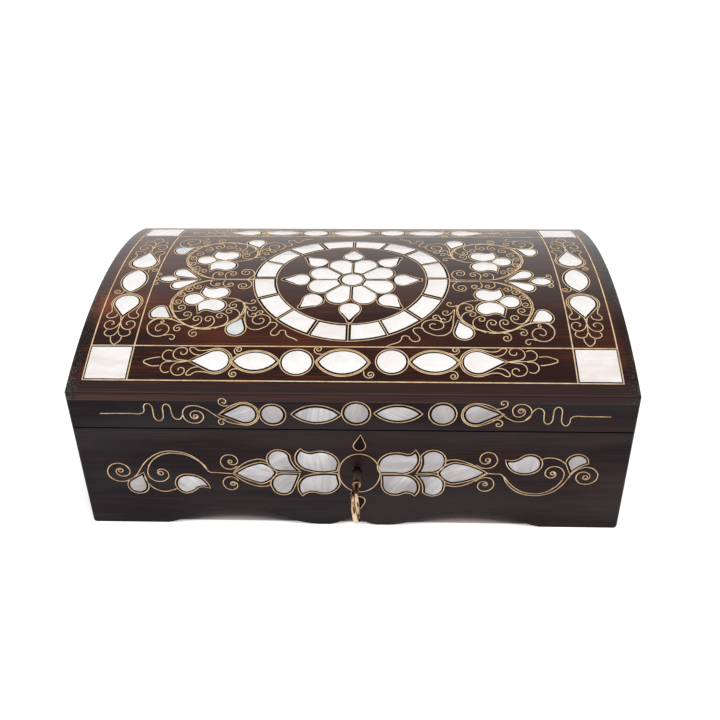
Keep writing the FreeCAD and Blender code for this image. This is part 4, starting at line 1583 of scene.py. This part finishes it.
def face_zone() -> Zone:
    """Front of the case: four petals, an almond, a leaf and a drop on each side of the keyhole.

    Returns:
        The zone.
    """
    left: list[Path] = [
        [(-22.9, 45.4), (-20.3, 43.8, -16.5, 44.1), (-9.2, 42.8, -6.4, 38.2), (-7.4, 34.1),
         (-14.5, 33.1, -20.5, 34.5), (-24.9, 39.8, -22.9, 45.4)],
        [(-24.8, 33.4), (-27.6, 37.3, -28.6, 42.0), (-34.9, 44.6, -37.6, 38.6),
         (-36.0, 35.0, -32.0, 33.3)],
        [(-23.1, 19.2), (-20.2, 21.0, -16.0, 20.8), (-9.2, 21.4, -6.3, 26.0), (-7.2, 31.1),
         (-14.0, 31.3, -20.3, 30.0), (-24.2, 25.0, -23.1, 19.2)],
        [(-24.8, 30.9), (-31.2, 31.1), (-36.2, 27.9, -36.2, 22.5), (-32.2, 19.3, -28.4, 21.3),
         (-26.7, 25.5, -24.8, 30.9)],
        [(-52.9, 31.5), (-47.4, 35.4, -41.3, 37.5), (-37.6, 35.6, -35.3, 32.2),
         (-37.9, 28.2, -41.8, 26.0), (-47.4, 28.0, -52.9, 31.5)],
        [(-67.2, 23.2), (-70.6, 28.2, -75.5, 29.8), (-81.4, 25.5, -78.0, 19.6),
         (-75.2, 20.4, -72.6, 22.6), (-70.2, 23.6, -67.2, 23.2)],
        drop(-99.8, 23.3, 4.1, -96.9, 30.0)]
    right: list[Path] = [
        [(28.9, 45.0), (30.1, 41.0, 28.8, 36.6), (26.2, 33.8, 20.5, 33.1), (13.4, 33.2),
         (13.1, 39.5, 17.2, 43.4), (21.2, 43.9, 25.0, 43.0), (27.3, 43.5, 28.9, 45.0)],
        [(30.9, 33.4), (32.5, 38.2, 32.2, 42.5), (37.5, 45.6, 41.9, 40.5),
         (40.4, 35.8, 36.5, 33.5)],
        [(28.9, 19.8), (26.5, 21.2, 23.0, 20.8), (17.0, 20.6, 14.4, 25.0), (14.3, 30.9),
         (23.0, 31.1), (28.6, 28.6, 28.9, 19.8)],
        [(30.6, 30.8), (32.8, 27.0, 33.4, 21.5), (38.0, 19.7, 41.7, 24.6),
         (40.5, 29.5, 35.5, 31.1)],
        [(40.1, 32.7), (42.3, 36.2, 46.7, 38.6), (53.6, 37.0, 60.3, 33.3), (53.6, 29.2, 46.2, 27.2),
         (42.2, 29.2, 40.1, 32.7)],
        [(70.5, 40.2), (74.6, 40.5, 77.4, 42.6), (84.7, 41.4, 83.4, 34.9),
         (76.4, 33.6, 70.5, 40.2)],
        [(99.3, 34.8), (97.4, 39.6), (101.0, 44.0, 106.0, 39.9), (102.3, 37.8, 99.3, 34.8)]]
    zone = Zone("front", "pearl_front", Ground.FACE, Body.BOX, left + right, rim=0.8, trim=0.3)
    zone.tints = {0: 0.30, 1: 0.10, 2: 0.72, 3: 0.70, 4: 0.25, 5: 0.15, 6: 0.85, 7: 0.68, 8: 0.78,
                  9: 0.62, 10: 0.45, 11: 0.6935, 12: 0.72, 13: 0.86}
    zone.lines = [
        [(-54.6, 31.6), (-51, 36), (-45.2, 39.5), (-40.4, 39.8), (-38.2, 38.2)],
        [(-54.6, 31.0), (-51, 27.4), (-45.2, 24.2), (-40, 23.7), (-37.4, 25)],
        [(41.8, 40.0), (46.5, 41), (52.5, 39.3), (58, 36), (61.7, 33.4)],
        [(42.4, 25.8), (47.9, 24.9), (53.4, 26.7), (58.4, 30.3), (61.7, 32.6)],
        [(-52.5, 35.6), (-54.5, 34.2), (-57.4, 34.1), (-59.5, 36.2), (-59.6, 39.6), (-57.6, 42),
         (-54.6, 42.3), (-52.3, 40.3), (-52.4, 37.6), (-54.5, 36.6), (-56.4, 37.8), (-56, 39.3),
         (-54.8, 39)],
        [(-52.6, 27), (-54.4, 28.8), (-57.2, 29.1), (-59.5, 27), (-59.5, 23.8), (-57.3, 21.5),
         (-54.6, 21.8), (-53.2, 23.9), (-54.4, 26), (-56.2, 25.7), (-56, 24.3)],
        [(-54.5, 31.2), (-58, 31.4), (-62, 31.8), (-65.6, 32.2), (-67.5, 36), (-70.5, 39.6),
         (-74.5, 42.6), (-79, 44), (-84, 44.2), (-88.5, 42.7), (-92.5, 39.8), (-95.5, 36.5),
         (-98, 32.5), (-100, 29.5), (-103, 27), (-107, 25.7), (-110.7, 26.8), (-112.9, 30),
         (-112.4, 33.5), (-109.5, 36.3), (-105.8, 36.4), (-103, 34), (-102.8, 30.8), (-105.3, 29),
         (-108, 29.6), (-109, 32), (-107.5, 33.6), (-105.8, 33), (-106.1, 31.6)],
        [(-66.4, 33.2), (-69.5, 38), (-74, 41.5), (-79, 42.9), (-84, 42.9), (-88.5, 41),
         (-92, 37.5), (-93.9, 33.5), (-94.2, 30), (-92.5, 27), (-89.5, 25.9), (-86.3, 27),
         (-84.7, 30), (-86, 32.8), (-88.6, 33.3), (-89.7, 31.3), (-88.4, 29.8), (-87.2, 30.8)],
        [(-96.2, 28.5), (-94.8, 24.5), (-91.5, 21), (-87.5, 19.8), (-84, 20.7), (-82, 21.6)],
        [(56.5, 38.0), (59.2, 36.4), (63, 36.4), (65.6, 39), (65.5, 42.6), (63, 45.2), (59.7, 44.8),
         (58, 42), (58.8, 39.4), (61, 38.7), (62.7, 40.3), (62, 42), (60.7, 41.5)],
        [(56.5, 28.2), (59.6, 30.2), (63, 30.2), (65, 27.5), (64.4, 24), (61.5, 22.2), (58.7, 23.2),
         (57.9, 26), (59.5, 28), (61.7, 27.5), (62, 25.8), (60.9, 25.5)],
        [(61, 33), (65, 32.8), (68.3, 32.3), (70.5, 28), (73.5, 24), (78, 21), (83, 19.9),
         (88, 20.3), (92.5, 22.3), (96, 26), (98.3, 30), (100, 33.5), (103.5, 36.6), (107.5, 37.2),
         (110.8, 35), (111.8, 31.5), (110, 28.3), (106.3, 27.2), (103, 28.8), (102.2, 32),
         (104, 34.3), (107, 34), (108.3, 31.7), (107, 30), (105.4, 30.6), (105.5, 31.9)],
        [(69.4, 31.3), (73, 26.3), (78, 22.3), (83, 21.1), (88, 21.5), (92, 24), (95, 27.5),
         (96.5, 31.5), (96, 35), (93.2, 37.4), (89.8, 37), (88, 34.5), (88.6, 31.8), (90.8, 30.8),
         (92.7, 32), (92.5, 33.9), (91, 34.5), (90.4, 33.3)],
        [(85, 41.3), (88, 42.5), (91.5, 42.4), (94.8, 40.8), (96.8, 38.8)]]
    plain = (0, 1, 2, 3, 8, 13)
    zone.lines = [line if i in plain else coiled(line) for i, line in enumerate(zone.lines)]
    above, below = drop(3.7, 48.4, 2.75, 4.3, 54.8), drop(3.2, 15.2, 2.75, 3.0, 8.8)
    zone.fills = [traced(above), traced(below)]
    zone.loops = [traced(oval(3.5, 32.3, 9.45, 11.4)), *zone.fills]
    return zone


# Sub-assemblies


@dataclass
class Case:
    """Mitred panels of the case, rails of the lid and the lid's bent sheet."""

    long_nodes: tuple[str, ...] = (
        "front_panel", "back_panel", "base_panel", "lid_front_rail", "lid_back_rail")
    short_nodes: tuple[str, ...] = (
        "left_end_panel", "right_end_panel", "lid_left_end_rail", "lid_right_end_rail")
    corner_r: float = 1.2
    end_r: float = 1.1
    end_fall: float = 0.7
    arris: float = 0.35
    every: float = 2.5
    end_cuts: tuple[float, ...] = (-124.75, -124.4, -123.9, 123.9, 124.4, 124.75)

    def dress(self, long_wood: Material, short_wood: Material) -> None:
        """Gives the carried-over panels and rails their finish."""
        redressed(self.long_nodes, long_wood)
        redressed(self.short_nodes, short_wood)

    def bend(self, sheet: Object) -> None:
        """Bends the flat sheet to the dome and rounds the top of its ends.

        Args:
            sheet: the sheet, 1 mm thick.
        """
        for v in sheet.data.vertices:
            top = v.co.z > HALF_MM
            r = DOME_R if top else DOME_R - SHEET_T
            y = v.co.y / MM - CASE_Y
            past = max(0.0, abs(v.co.x) / MM - HALF_LENGTH + self.end_r)
            over = past / self.end_r if top else 0.0
            fall = self.end_r * self.end_fall * (1 - math.sqrt(max(0.0, 1 - over * over)))
            v.co.z = (DOME_Z + math.sqrt(r * r - y * y) - fall) * MM

    def build_sheet(self, wood: Material) -> None:
        """Models the bent sheet of the lid with a smooth crown.

        Args:
            wood: its finish.
        """
        sheet = block((-HALF_LENGTH, HALF_LENGTH), (FRONT, HALF_DEPTH), (0, 1))
        edited(sheet)
        bpy.ops.mesh.select_all(action="DESELECT")
        bpy.ops.object.mode_set(mode="OBJECT")
        for e in sheet.data.edges:
            a, b = (sheet.data.vertices[i].co for i in e.vertices)
            e.select = abs(a.z - b.z) > HALF_MM
        bpy.ops.object.mode_set(mode="EDIT")
        bpy.ops.mesh.select_mode(type="EDGE")
        bpy.ops.mesh.bevel(offset=self.corner_r * MM, segments=4)
        cut_at(1, [deep(FRONT + i * self.every) for i in range(1, 64)])
        cut_at(0, [x * MM for x in self.end_cuts])
        bpy.ops.object.mode_set(mode="OBJECT")
        self.bend(sheet)
        modified(sheet, "BEVEL", width=self.arris * MM, segments=2, limit_method="ANGLE",
                 angle_limit=math.radians(55))
        smoothed(sheet, 30)
        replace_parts(taken(sheet, "lid_bent_sheet", wood, Body.LID), "lid_sheet")


@dataclass
class Lining:
    """Velvet glued to the inside of the case and of the lid."""

    inner_x: float = 116.0
    inner_y: float = 71.0
    cloth: float = 1.0
    floor_z: float = 16.0
    top_z: float = 51.5
    inset: float = 0.06
    soft: float = 0.25
    front_soft: float = 0.2
    uneven: float = 0.00004
    lock_wide: float = 41.0
    lock_low: float = 21.5
    crown_gap: float = 0.1
    crown_inset: float = 0.02
    every: float = 2.5

    def sheet(self, side: str, carrier: str, x: Span, y: Span, z: Span, velvet: Material) -> None:
        """Models one piece of cloth with softened edges and a faint unevenness.

        Args:
            side: side of the case that it lines.
            carrier: panel that it is glued to; not used.
            x: extent along X.
            y: extent along Y.
            z: extent along Z.
            velvet: finish of the cloth.
        """
        spans = [(a + self.inset, b - self.inset) for a, b in (x, y, z)]
        cloth = block(*spans)
        modified(cloth, "BEVEL", width=self.soft * MM, segments=2, limit_method="ANGLE")
        modified(cloth, "SUBSURF", subdivision_type="SIMPLE", levels=3, render_levels=3)
        thin = min(range(3), key=lambda i: spans[i][1] - spans[i][0])
        for v in cloth.data.vertices:
            along, across = v.co.x * 190 + v.co.z * 130, v.co.y * 170 + v.co.z * 90 + 0.7
            v.co[thin] += math.sin(along) * math.sin(across) * self.uneven
        smoothed(cloth, 40)
        taken(cloth, "lining_" + side, velvet, Body.BOX)
        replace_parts(cloth, "velvet_" + side)

    def front(self, velvet: Material) -> None:
        """Models the front cloth, cut out round the lock's plate.

        Args:
            velvet: finish of the cloth.
        """
        cloth = linked("cloth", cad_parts["velvet_front"].data.copy())
        edited(cloth)
        bpy.ops.mesh.select_all(action="SELECT")
        bpy.ops.mesh.remove_doubles(threshold=1e-6)
        bpy.ops.mesh.dissolve_limited(angle_limit=math.radians(1))
        bpy.ops.object.mode_set(mode="OBJECT")
        modified(cloth, "BEVEL", width=self.front_soft * MM, segments=2, limit_method="ANGLE")
        taken(cloth, "lining_front", velvet, Body.BOX)
        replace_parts(cloth, "velvet_front")

    def crown(self, velvet: Material) -> None:
        """Models the cloth inside the crown of the lid.

        Args:
            velvet: finish of the cloth.
        """
        half_x, half_y = self.inner_x - self.crown_gap, self.inner_y - self.crown_gap
        cloth = block((-half_x, half_x), (-half_y, half_y), (0, 1))
        edited(cloth)
        cut_at(1, [deep(-self.inner_y + i * self.every) for i in range(1, 57)])
        bpy.ops.object.mode_set(mode="OBJECT")
        outer = DOME_R - SHEET_T - self.crown_inset
        for v in cloth.data.vertices:
            r = outer if v.co.z > HALF_MM else outer - self.cloth + 2 * self.crown_inset
            y = v.co.y / MM - CASE_Y
            v.co.z = (DOME_Z + math.sqrt(r * r - y * y)) * MM
        smoothed(cloth, 30)
        taken(cloth, "lining_lid", velvet, Body.LID)
        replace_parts(cloth, "velvet_lid")

    def build(self, velvet: Material) -> None:
        """Models the floor, the walls and the crown.

        Args:
            velvet: finish of the cloth.
        """
        x, y, t = self.inner_x, self.inner_y, self.cloth
        across, wall = (-y + t, y - t), (self.floor_z, self.top_z)
        ground = (self.floor_z, self.floor_z + t)
        self.sheet("floor", "base_panel", (-x + t, x - t), across, ground, velvet)
        self.sheet("back", "back_panel", (-x, x), (y - t, y), wall, velvet)
        self.sheet("right", "right_end_panel", (x - t, x), across, wall, velvet)
        self.sheet("left", "left_end_panel", (-x, -x + t), across, wall, velvet)
        self.front(velvet)
        self.crown(velvet)


@dataclass
class Fittings:
    """Hinges, lock and the screws that hold them."""

    nodes: tuple[str, ...] = (
        "hinge_leaves_body", "hinge_leaves_lid", "hinge_pins", "lock_case", "lock_cover",
        "lock_follower", "lock_bolt", "lock_strike")
    head_r: float = 1.15
    head_t: float = 0.12
    slit_half: float = 0.16
    slit_deep: float = 0.1
    hinges: Span = (-70.0, 70.0)
    hinge_sides: Span = (-9.5, 9.5)
    hinge_y: float = 72.75
    low_seat: float = 57.32
    high_seat: float = 57.58
    lock_sides: Span = (-18.0, 18.0)
    lock_heights: Span = (29.0, 50.0)
    lock_y: float = -70.96
    strike_sides: Span = (-11.0, 2.0)
    strike_y: float = -75.2

    def dress(self, brass: Material) -> None:
        """Gives the carried-over fittings their finish."""
        redressed(self.nodes, brass)

    def screw(self, name: str, at: Triple, facing: Vector, body: Body, brass: Material) -> None:
        """Models a low slotted screw head.

        Args:
            name: name of the piece.
            at: middle of the head's seat, in the case's own frame.
            facing: direction that the head looks in.
            body: body that it rides on.
            brass: its finish.
        """
        deselect()
        bpy.ops.mesh.primitive_cylinder_add(
            vertices=28, radius=self.head_r * MM, depth=self.head_t * MM)
        head = bpy.context.object
        edited(head)
        cut_at(1, (-self.slit_half * MM, self.slit_half * MM))
        bpy.ops.object.mode_set(mode="OBJECT")
        for part in (*head.data.vertices, *head.data.edges):
            part.select = False
        for p in head.data.polygons:
            p.select = p.normal.z > 0.9 and abs(p.center.y) < self.slit_half * MM
        bpy.ops.object.mode_set(mode="EDIT")
        bpy.ops.mesh.select_mode(type="FACE")
        bpy.ops.mesh.extrude_region_move(
            TRANSFORM_OT_translate={"value": (0, 0, -self.slit_deep * MM)})
        bpy.ops.object.mode_set(mode="OBJECT")
        turn = Vector((0, 0, 1)).rotation_difference(facing).to_matrix().to_4x4()
        place = Vector((at[0], at[1] + CASE_Y, at[2])) * MM
        head.data.transform(Matrix.Translation(place) @ turn)
        head.data.update()
        taken(head, name, brass, body)

    def build(self, brass: Material) -> None:
        """Models the screws of the hinges, of the lock's plate and of its strike.

        Args:
            brass: their finish.
        """
        up, down, inwards = Vector((0, 0, 1)), Vector((0, 0, -1)), Vector((0, 1, 0))
        hinge_x = [hinge + side for hinge in self.hinges for side in self.hinge_sides]
        for i, x in enumerate(hinge_x, 1):
            low, high = (x, self.hinge_y, self.low_seat), (x, self.hinge_y, self.high_seat)
            self.screw(f"hinge_screw_low_{i}", low, up, Body.BOX, brass)
            self.screw(f"hinge_screw_high_{i}", high, down, Body.LID, brass)
        corners = [(LOCK_X + side, z) for side in self.lock_sides for z in self.lock_heights]
        for i, (x, z) in enumerate(corners, 1):
            self.screw(f"lock_screw_{i}", (x, self.lock_y, z), inwards, Body.BOX, brass)
        for i, side in enumerate(self.strike_sides, 1):
            seat = (LOCK_X + side, self.strike_y, self.high_seat)
            self.screw(f"strike_screw_{i}", seat, down, Body.LID, brass)


@dataclass
class Key:
    """Key with a ring bow, a turned collar and a bit."""

    z: float = 33.8
    bow_r: float = 6.5
    bow_wire: float = 1.0
    bow_y: float = -103.9
    twist: float = 9.0
    bit_half: float = 0.8
    bit_y: Span = (-76.3, -74.0)
    bit_reach: float = 4.9
    bit_soft: float = 0.15
    profile: Line = field(default_factory=lambda: [
        (-72.8, 0.0), (-72.8, 1.2), (-73.2, 1.6), (-87.8, 1.6), (-88.2, 1.7), (-88.6, 1.93),
        (-89.2, 2.0), (-89.8, 1.93), (-90.2, 1.65), (-90.4, 1.25), (-92.0, 1.2), (-95.6, 1.2),
        (-96.7, 1.0), (-97.0, 0.0)])

    def place(self) -> Vector:
        """Place of the keyhole's axis in the row frame."""
        return Vector((LOCK_X, CASE_Y, self.z)) * MM

    def shaft(self) -> Object:
        """Turns the shaft and its collar out of their profile.

        Returns:
            The shaft.
        """
        mesh = bpy.data.meshes.new("key")
        joins = [(i, i + 1) for i in range(len(self.profile) - 1)]
        mesh.from_pydata([(r * MM, y * MM, 0) for y, r in self.profile], joins, [])
        made = linked("key", mesh)
        edited(made)
        bpy.ops.mesh.select_all(action="SELECT")
        bpy.ops.mesh.spin(steps=40, angle=2 * math.pi, center=(0, 0, 0), axis=(0, 1, 0))
        bpy.ops.mesh.select_all(action="SELECT")
        bpy.ops.mesh.remove_doubles(threshold=1e-6)
        bpy.ops.mesh.normals_make_consistent(inside=False)
        bpy.ops.object.mode_set(mode="OBJECT")
        made.data.transform(Matrix.Translation(self.place()))
        return made

    def ring(self) -> Object:
        """Models the ring that is the key's bow.

        Returns:
            The ring.
        """
        deselect()
        bpy.ops.mesh.primitive_torus_add(
            major_segments=72, minor_segments=20, major_radius=self.bow_r * MM,
            minor_radius=self.bow_wire * MM)
        made = bpy.context.object
        made.data.transform(Matrix.Rotation(math.radians(90), 4, "Y"))
        made.data.transform(Matrix.Translation(Vector((0, self.bow_y, 0)) * MM))
        made.data.transform(Matrix.Rotation(math.radians(-self.twist), 4, "Y"))
        made.data.transform(Matrix.Translation(self.place()))
        return made

    def build(self, brass: Material) -> None:
        """Models the key out of a turned shaft, a ring and a bit.

        Args:
            brass: its finish.
        """
        shaft, ring = self.shaft(), self.ring()
        bit = block((LOCK_X - self.bit_half, LOCK_X + self.bit_half), self.bit_y,
                    (self.z - self.bit_reach, self.z))
        modified(bit, "BEVEL", width=self.bit_soft * MM, segments=2)
        picked(shaft)
        ring.select_set(True)
        bit.select_set(True)
        bpy.ops.object.join()
        smoothed(shaft, 40)
        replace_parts(taken(shaft, "key_turned", brass, Body.KEY), "key")


@dataclass
class Studio:
    """Floor, light and camera."""

    lens: float = 47.17
    sensor: float = 36.0
    place: Triple = (17.21, -407.07, 319.06)
    yaw: float = -0.0388
    pitch: float = 0.6
    roll: float = 0.0145
    sun: float = 2.3
    sun_angle: float = 34.0
    sun_lean: Span = (16.0, 5.0)
    sky: float = 0.30
    floor_wide: float = 12.0
    floor_z: float = -0.0002
    pale: Colour = (0.95, 0.95, 0.95)
    paler: Colour = (0.97, 0.97, 0.97)
    shade_and_bounce_under_box: Colour = (0.78, 0.64, 0.65)

    def camera(self) -> None:
        """Sets the camera at the photograph's angle."""
        level = math.cos(self.pitch)
        ahead = Vector((math.sin(self.yaw) * level, math.cos(self.yaw) * level,
                        -math.sin(self.pitch)))
        right = Vector((math.cos(self.yaw), -math.sin(self.yaw), 0))
        down = ahead.cross(right)
        across = math.cos(self.roll) * right + math.sin(self.roll) * down
        below = math.cos(self.roll) * down - math.sin(self.roll) * right
        data = bpy.data.cameras.new("camera")
        data.lens, data.sensor_width = self.lens, self.sensor
        data.clip_start, data.clip_end = 0.01, 50.0
        made = linked("camera", data)
        turn = Matrix((across, -below, -ahead)).transposed().to_4x4()
        shift = Vector((self.place[0], self.place[1] + CASE_Y, self.place[2])) * MM
        made.matrix_world = Matrix.Translation(shift) @ turn
        bpy.context.scene.camera = made

    def floor(self) -> None:
        """Lays a pale floor that glows a little for the camera beside the box, with painted brown
        bounce and shade under it.
        """
        deselect()
        bpy.ops.mesh.primitive_plane_add(size=self.floor_wide, location=(0, 0, self.floor_z))
        made = bpy.context.object
        made.name = "floor"
        paint, tree, shader, where = blank("pale_floor")
        pale = mixed(tree, noise(tree, where, 3.0, 1), self.pale, self.paler)
        shader.inputs["Roughness"].default_value = 0.9
        shader.inputs["Specular IOR Level"].default_value = 0.0
        shader.inputs["Emission Color"].default_value = (1, 1, 1, 1)
        rays = tree.nodes.new("ShaderNodeLightPath")
        x, y, _ = parted(tree, stretched(tree, where, (1, 1, 1), (0, -CASE_Y * MM, 0)))
        aside = ranged(tree, combined(tree, How.SIZE, x), 0.117, 0.127, 0, 0.3)
        ahead = ranged(tree, y, -0.0783, -0.0776, 0.45, 0)
        behind = ranged(tree, y, 0.0765, 0.0795, 0, 0.3)
        clear = combined(tree, How.MOST, aside, ahead, behind)
        # Painted shade and brown bounce on the floor under the box
        colour = mixed(tree, ranged(tree, clear, 0, 0.3, 1, 0), pale, self.shade_and_bounce_under_box)
        glow = combined(tree, How.TIMES, rays.outputs["Is Camera Ray"], clear)
        tree.links.new(colour, shader.inputs["Base Color"])
        tree.links.new(glow, shader.inputs["Emission Strength"])
        made.data.materials.append(paint)

    def lights(self) -> None:
        """Sets up soft light from above and a bright surrounding."""
        lamp = bpy.data.lights.new("overhead", "SUN")
        lamp.energy = self.sun
        lamp.angle = math.radians(self.sun_angle)
        made = linked("overhead", lamp)
        made.rotation_euler = (*map(math.radians, self.sun_lean), 0)
        made.visible_glossy = False
        world = bpy.data.worlds.new("surrounding")
        world.use_nodes = True
        bpy.context.scene.world = world
        tree = world.node_tree
        back = tree.nodes["Background"]
        back.inputs["Color"].default_value = (1, 1, 1, 1)
        rays = tree.nodes.new("ShaderNodeLightPath")
        camera, glossy = rays.outputs["Is Camera Ray"], rays.outputs["Is Glossy Ray"]
        where = tree.nodes.new("ShaderNodeTexCoord")
        x, y, z = parted(tree, where.outputs["Object"])
        above = ranged(tree, y, 0.05, 0.40, 1.0, 0.84)
        height = combined(tree, How.MOST, ranged(tree, z, 0.45, 0.9, 1.0, 0), above)
        near = combined(tree, How.TIMES, ranged(tree, y, -0.45, -0.2, 1, 0),
                        ranged(tree, z, 0.55, 0.75, 1, 0), ranged(tree, x, -0.5, -0.3, 0, 0.93))
        shine = combined(tree, How.TIMES, height, ranged(tree, near, 0, 1, 1, 0), glossy)
        dim = ranged(tree, combined(tree, How.MOST, camera, glossy), 0, 1, self.sky, 0)
        strength = combined(tree, How.MOST, camera, shine, dim)
        tree.links.new(strength, back.inputs["Strength"])

    def build(self) -> None:
        """Sets up the whole studio."""
        self.camera()
        self.floor()
        self.lights()
        bpy.context.scene.view_settings.view_transform = "Standard"


def main() -> None:
    """Builds and dresses the box."""
    logging.basicConfig(level=logging.INFO, format="%(name)s %(message)s")
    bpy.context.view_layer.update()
    long_wood = WoodFinish("wood_long").material()
    short_wood = WoodFinish("wood_short", turn=90).material()
    sheet_wood = WoodFinish(
        "wood_sheet", (0.0170, 0.0055, 0.0045), (0.235, 0.0570, 0.0180), shine=0.11,
        sheen=(1.0, 0.92, 0.95), streak=1.1, calm=0.4, fibres=0.55, lid=True).material()
    pearl_lid = PearlFinish("pearl_lid").material()
    # Darker, greyer copy of the lid's pearl for the front faces: painted shade, since they get less
    # light
    pearl_front = PearlFinish(
        "pearl_front", pale=(0.82, 0.81, 0.81), cream=(0.50, 0.45, 0.465),
        cool=(0.52, 0.48, 0.49), shade=(0.40, 0.34, 0.35), lines=0.85, fine=130, stripes=0.34,
        axis=Axis.DEEP).material()
    wire = BrassFinish("brass_wire").material()
    # Duller, darker copy of the lid's wire for the front faces: painted shade
    shaded_front_wire = BrassFinish(
        "brass_wire_front_shaded", (0.96, 0.69, 0.42), (0.62, 0.40, 0.22)).material()
    brass = BrassFinish(
        "brass_polished", (0.90, 0.66, 0.38), (0.66, 0.42, 0.21), (0.16, 0.28), 60.0).material()
    key_brass = KeyFinish(
        "brass_key", (1.0, 0.80, 0.52), (0.62, 0.40, 0.22), (0.06, 0.12), 160.0).material()
    mastic = MasticFinish("dark_mastic").material()
    velvet = VelvetFinish("red_velvet").material()
    case = Case()
    case.dress(long_wood, short_wood)
    case.build_sheet(sheet_wood)
    for zone in (frame_zone(), border_zone(), medallion_zone(), scroll_zone()):
        zone.build(pearl_lid, wire, mastic)
    for zone in (edge_zone(), face_zone()):
        zone.build(pearl_front, shaded_front_wire, mastic)
    Lining().build(velvet)
    fittings = Fittings()
    fittings.dress(brass)
    fittings.build(brass)
    Key().build(key_brass)
    Studio().build()


if __name__ == "__main__":
    main()
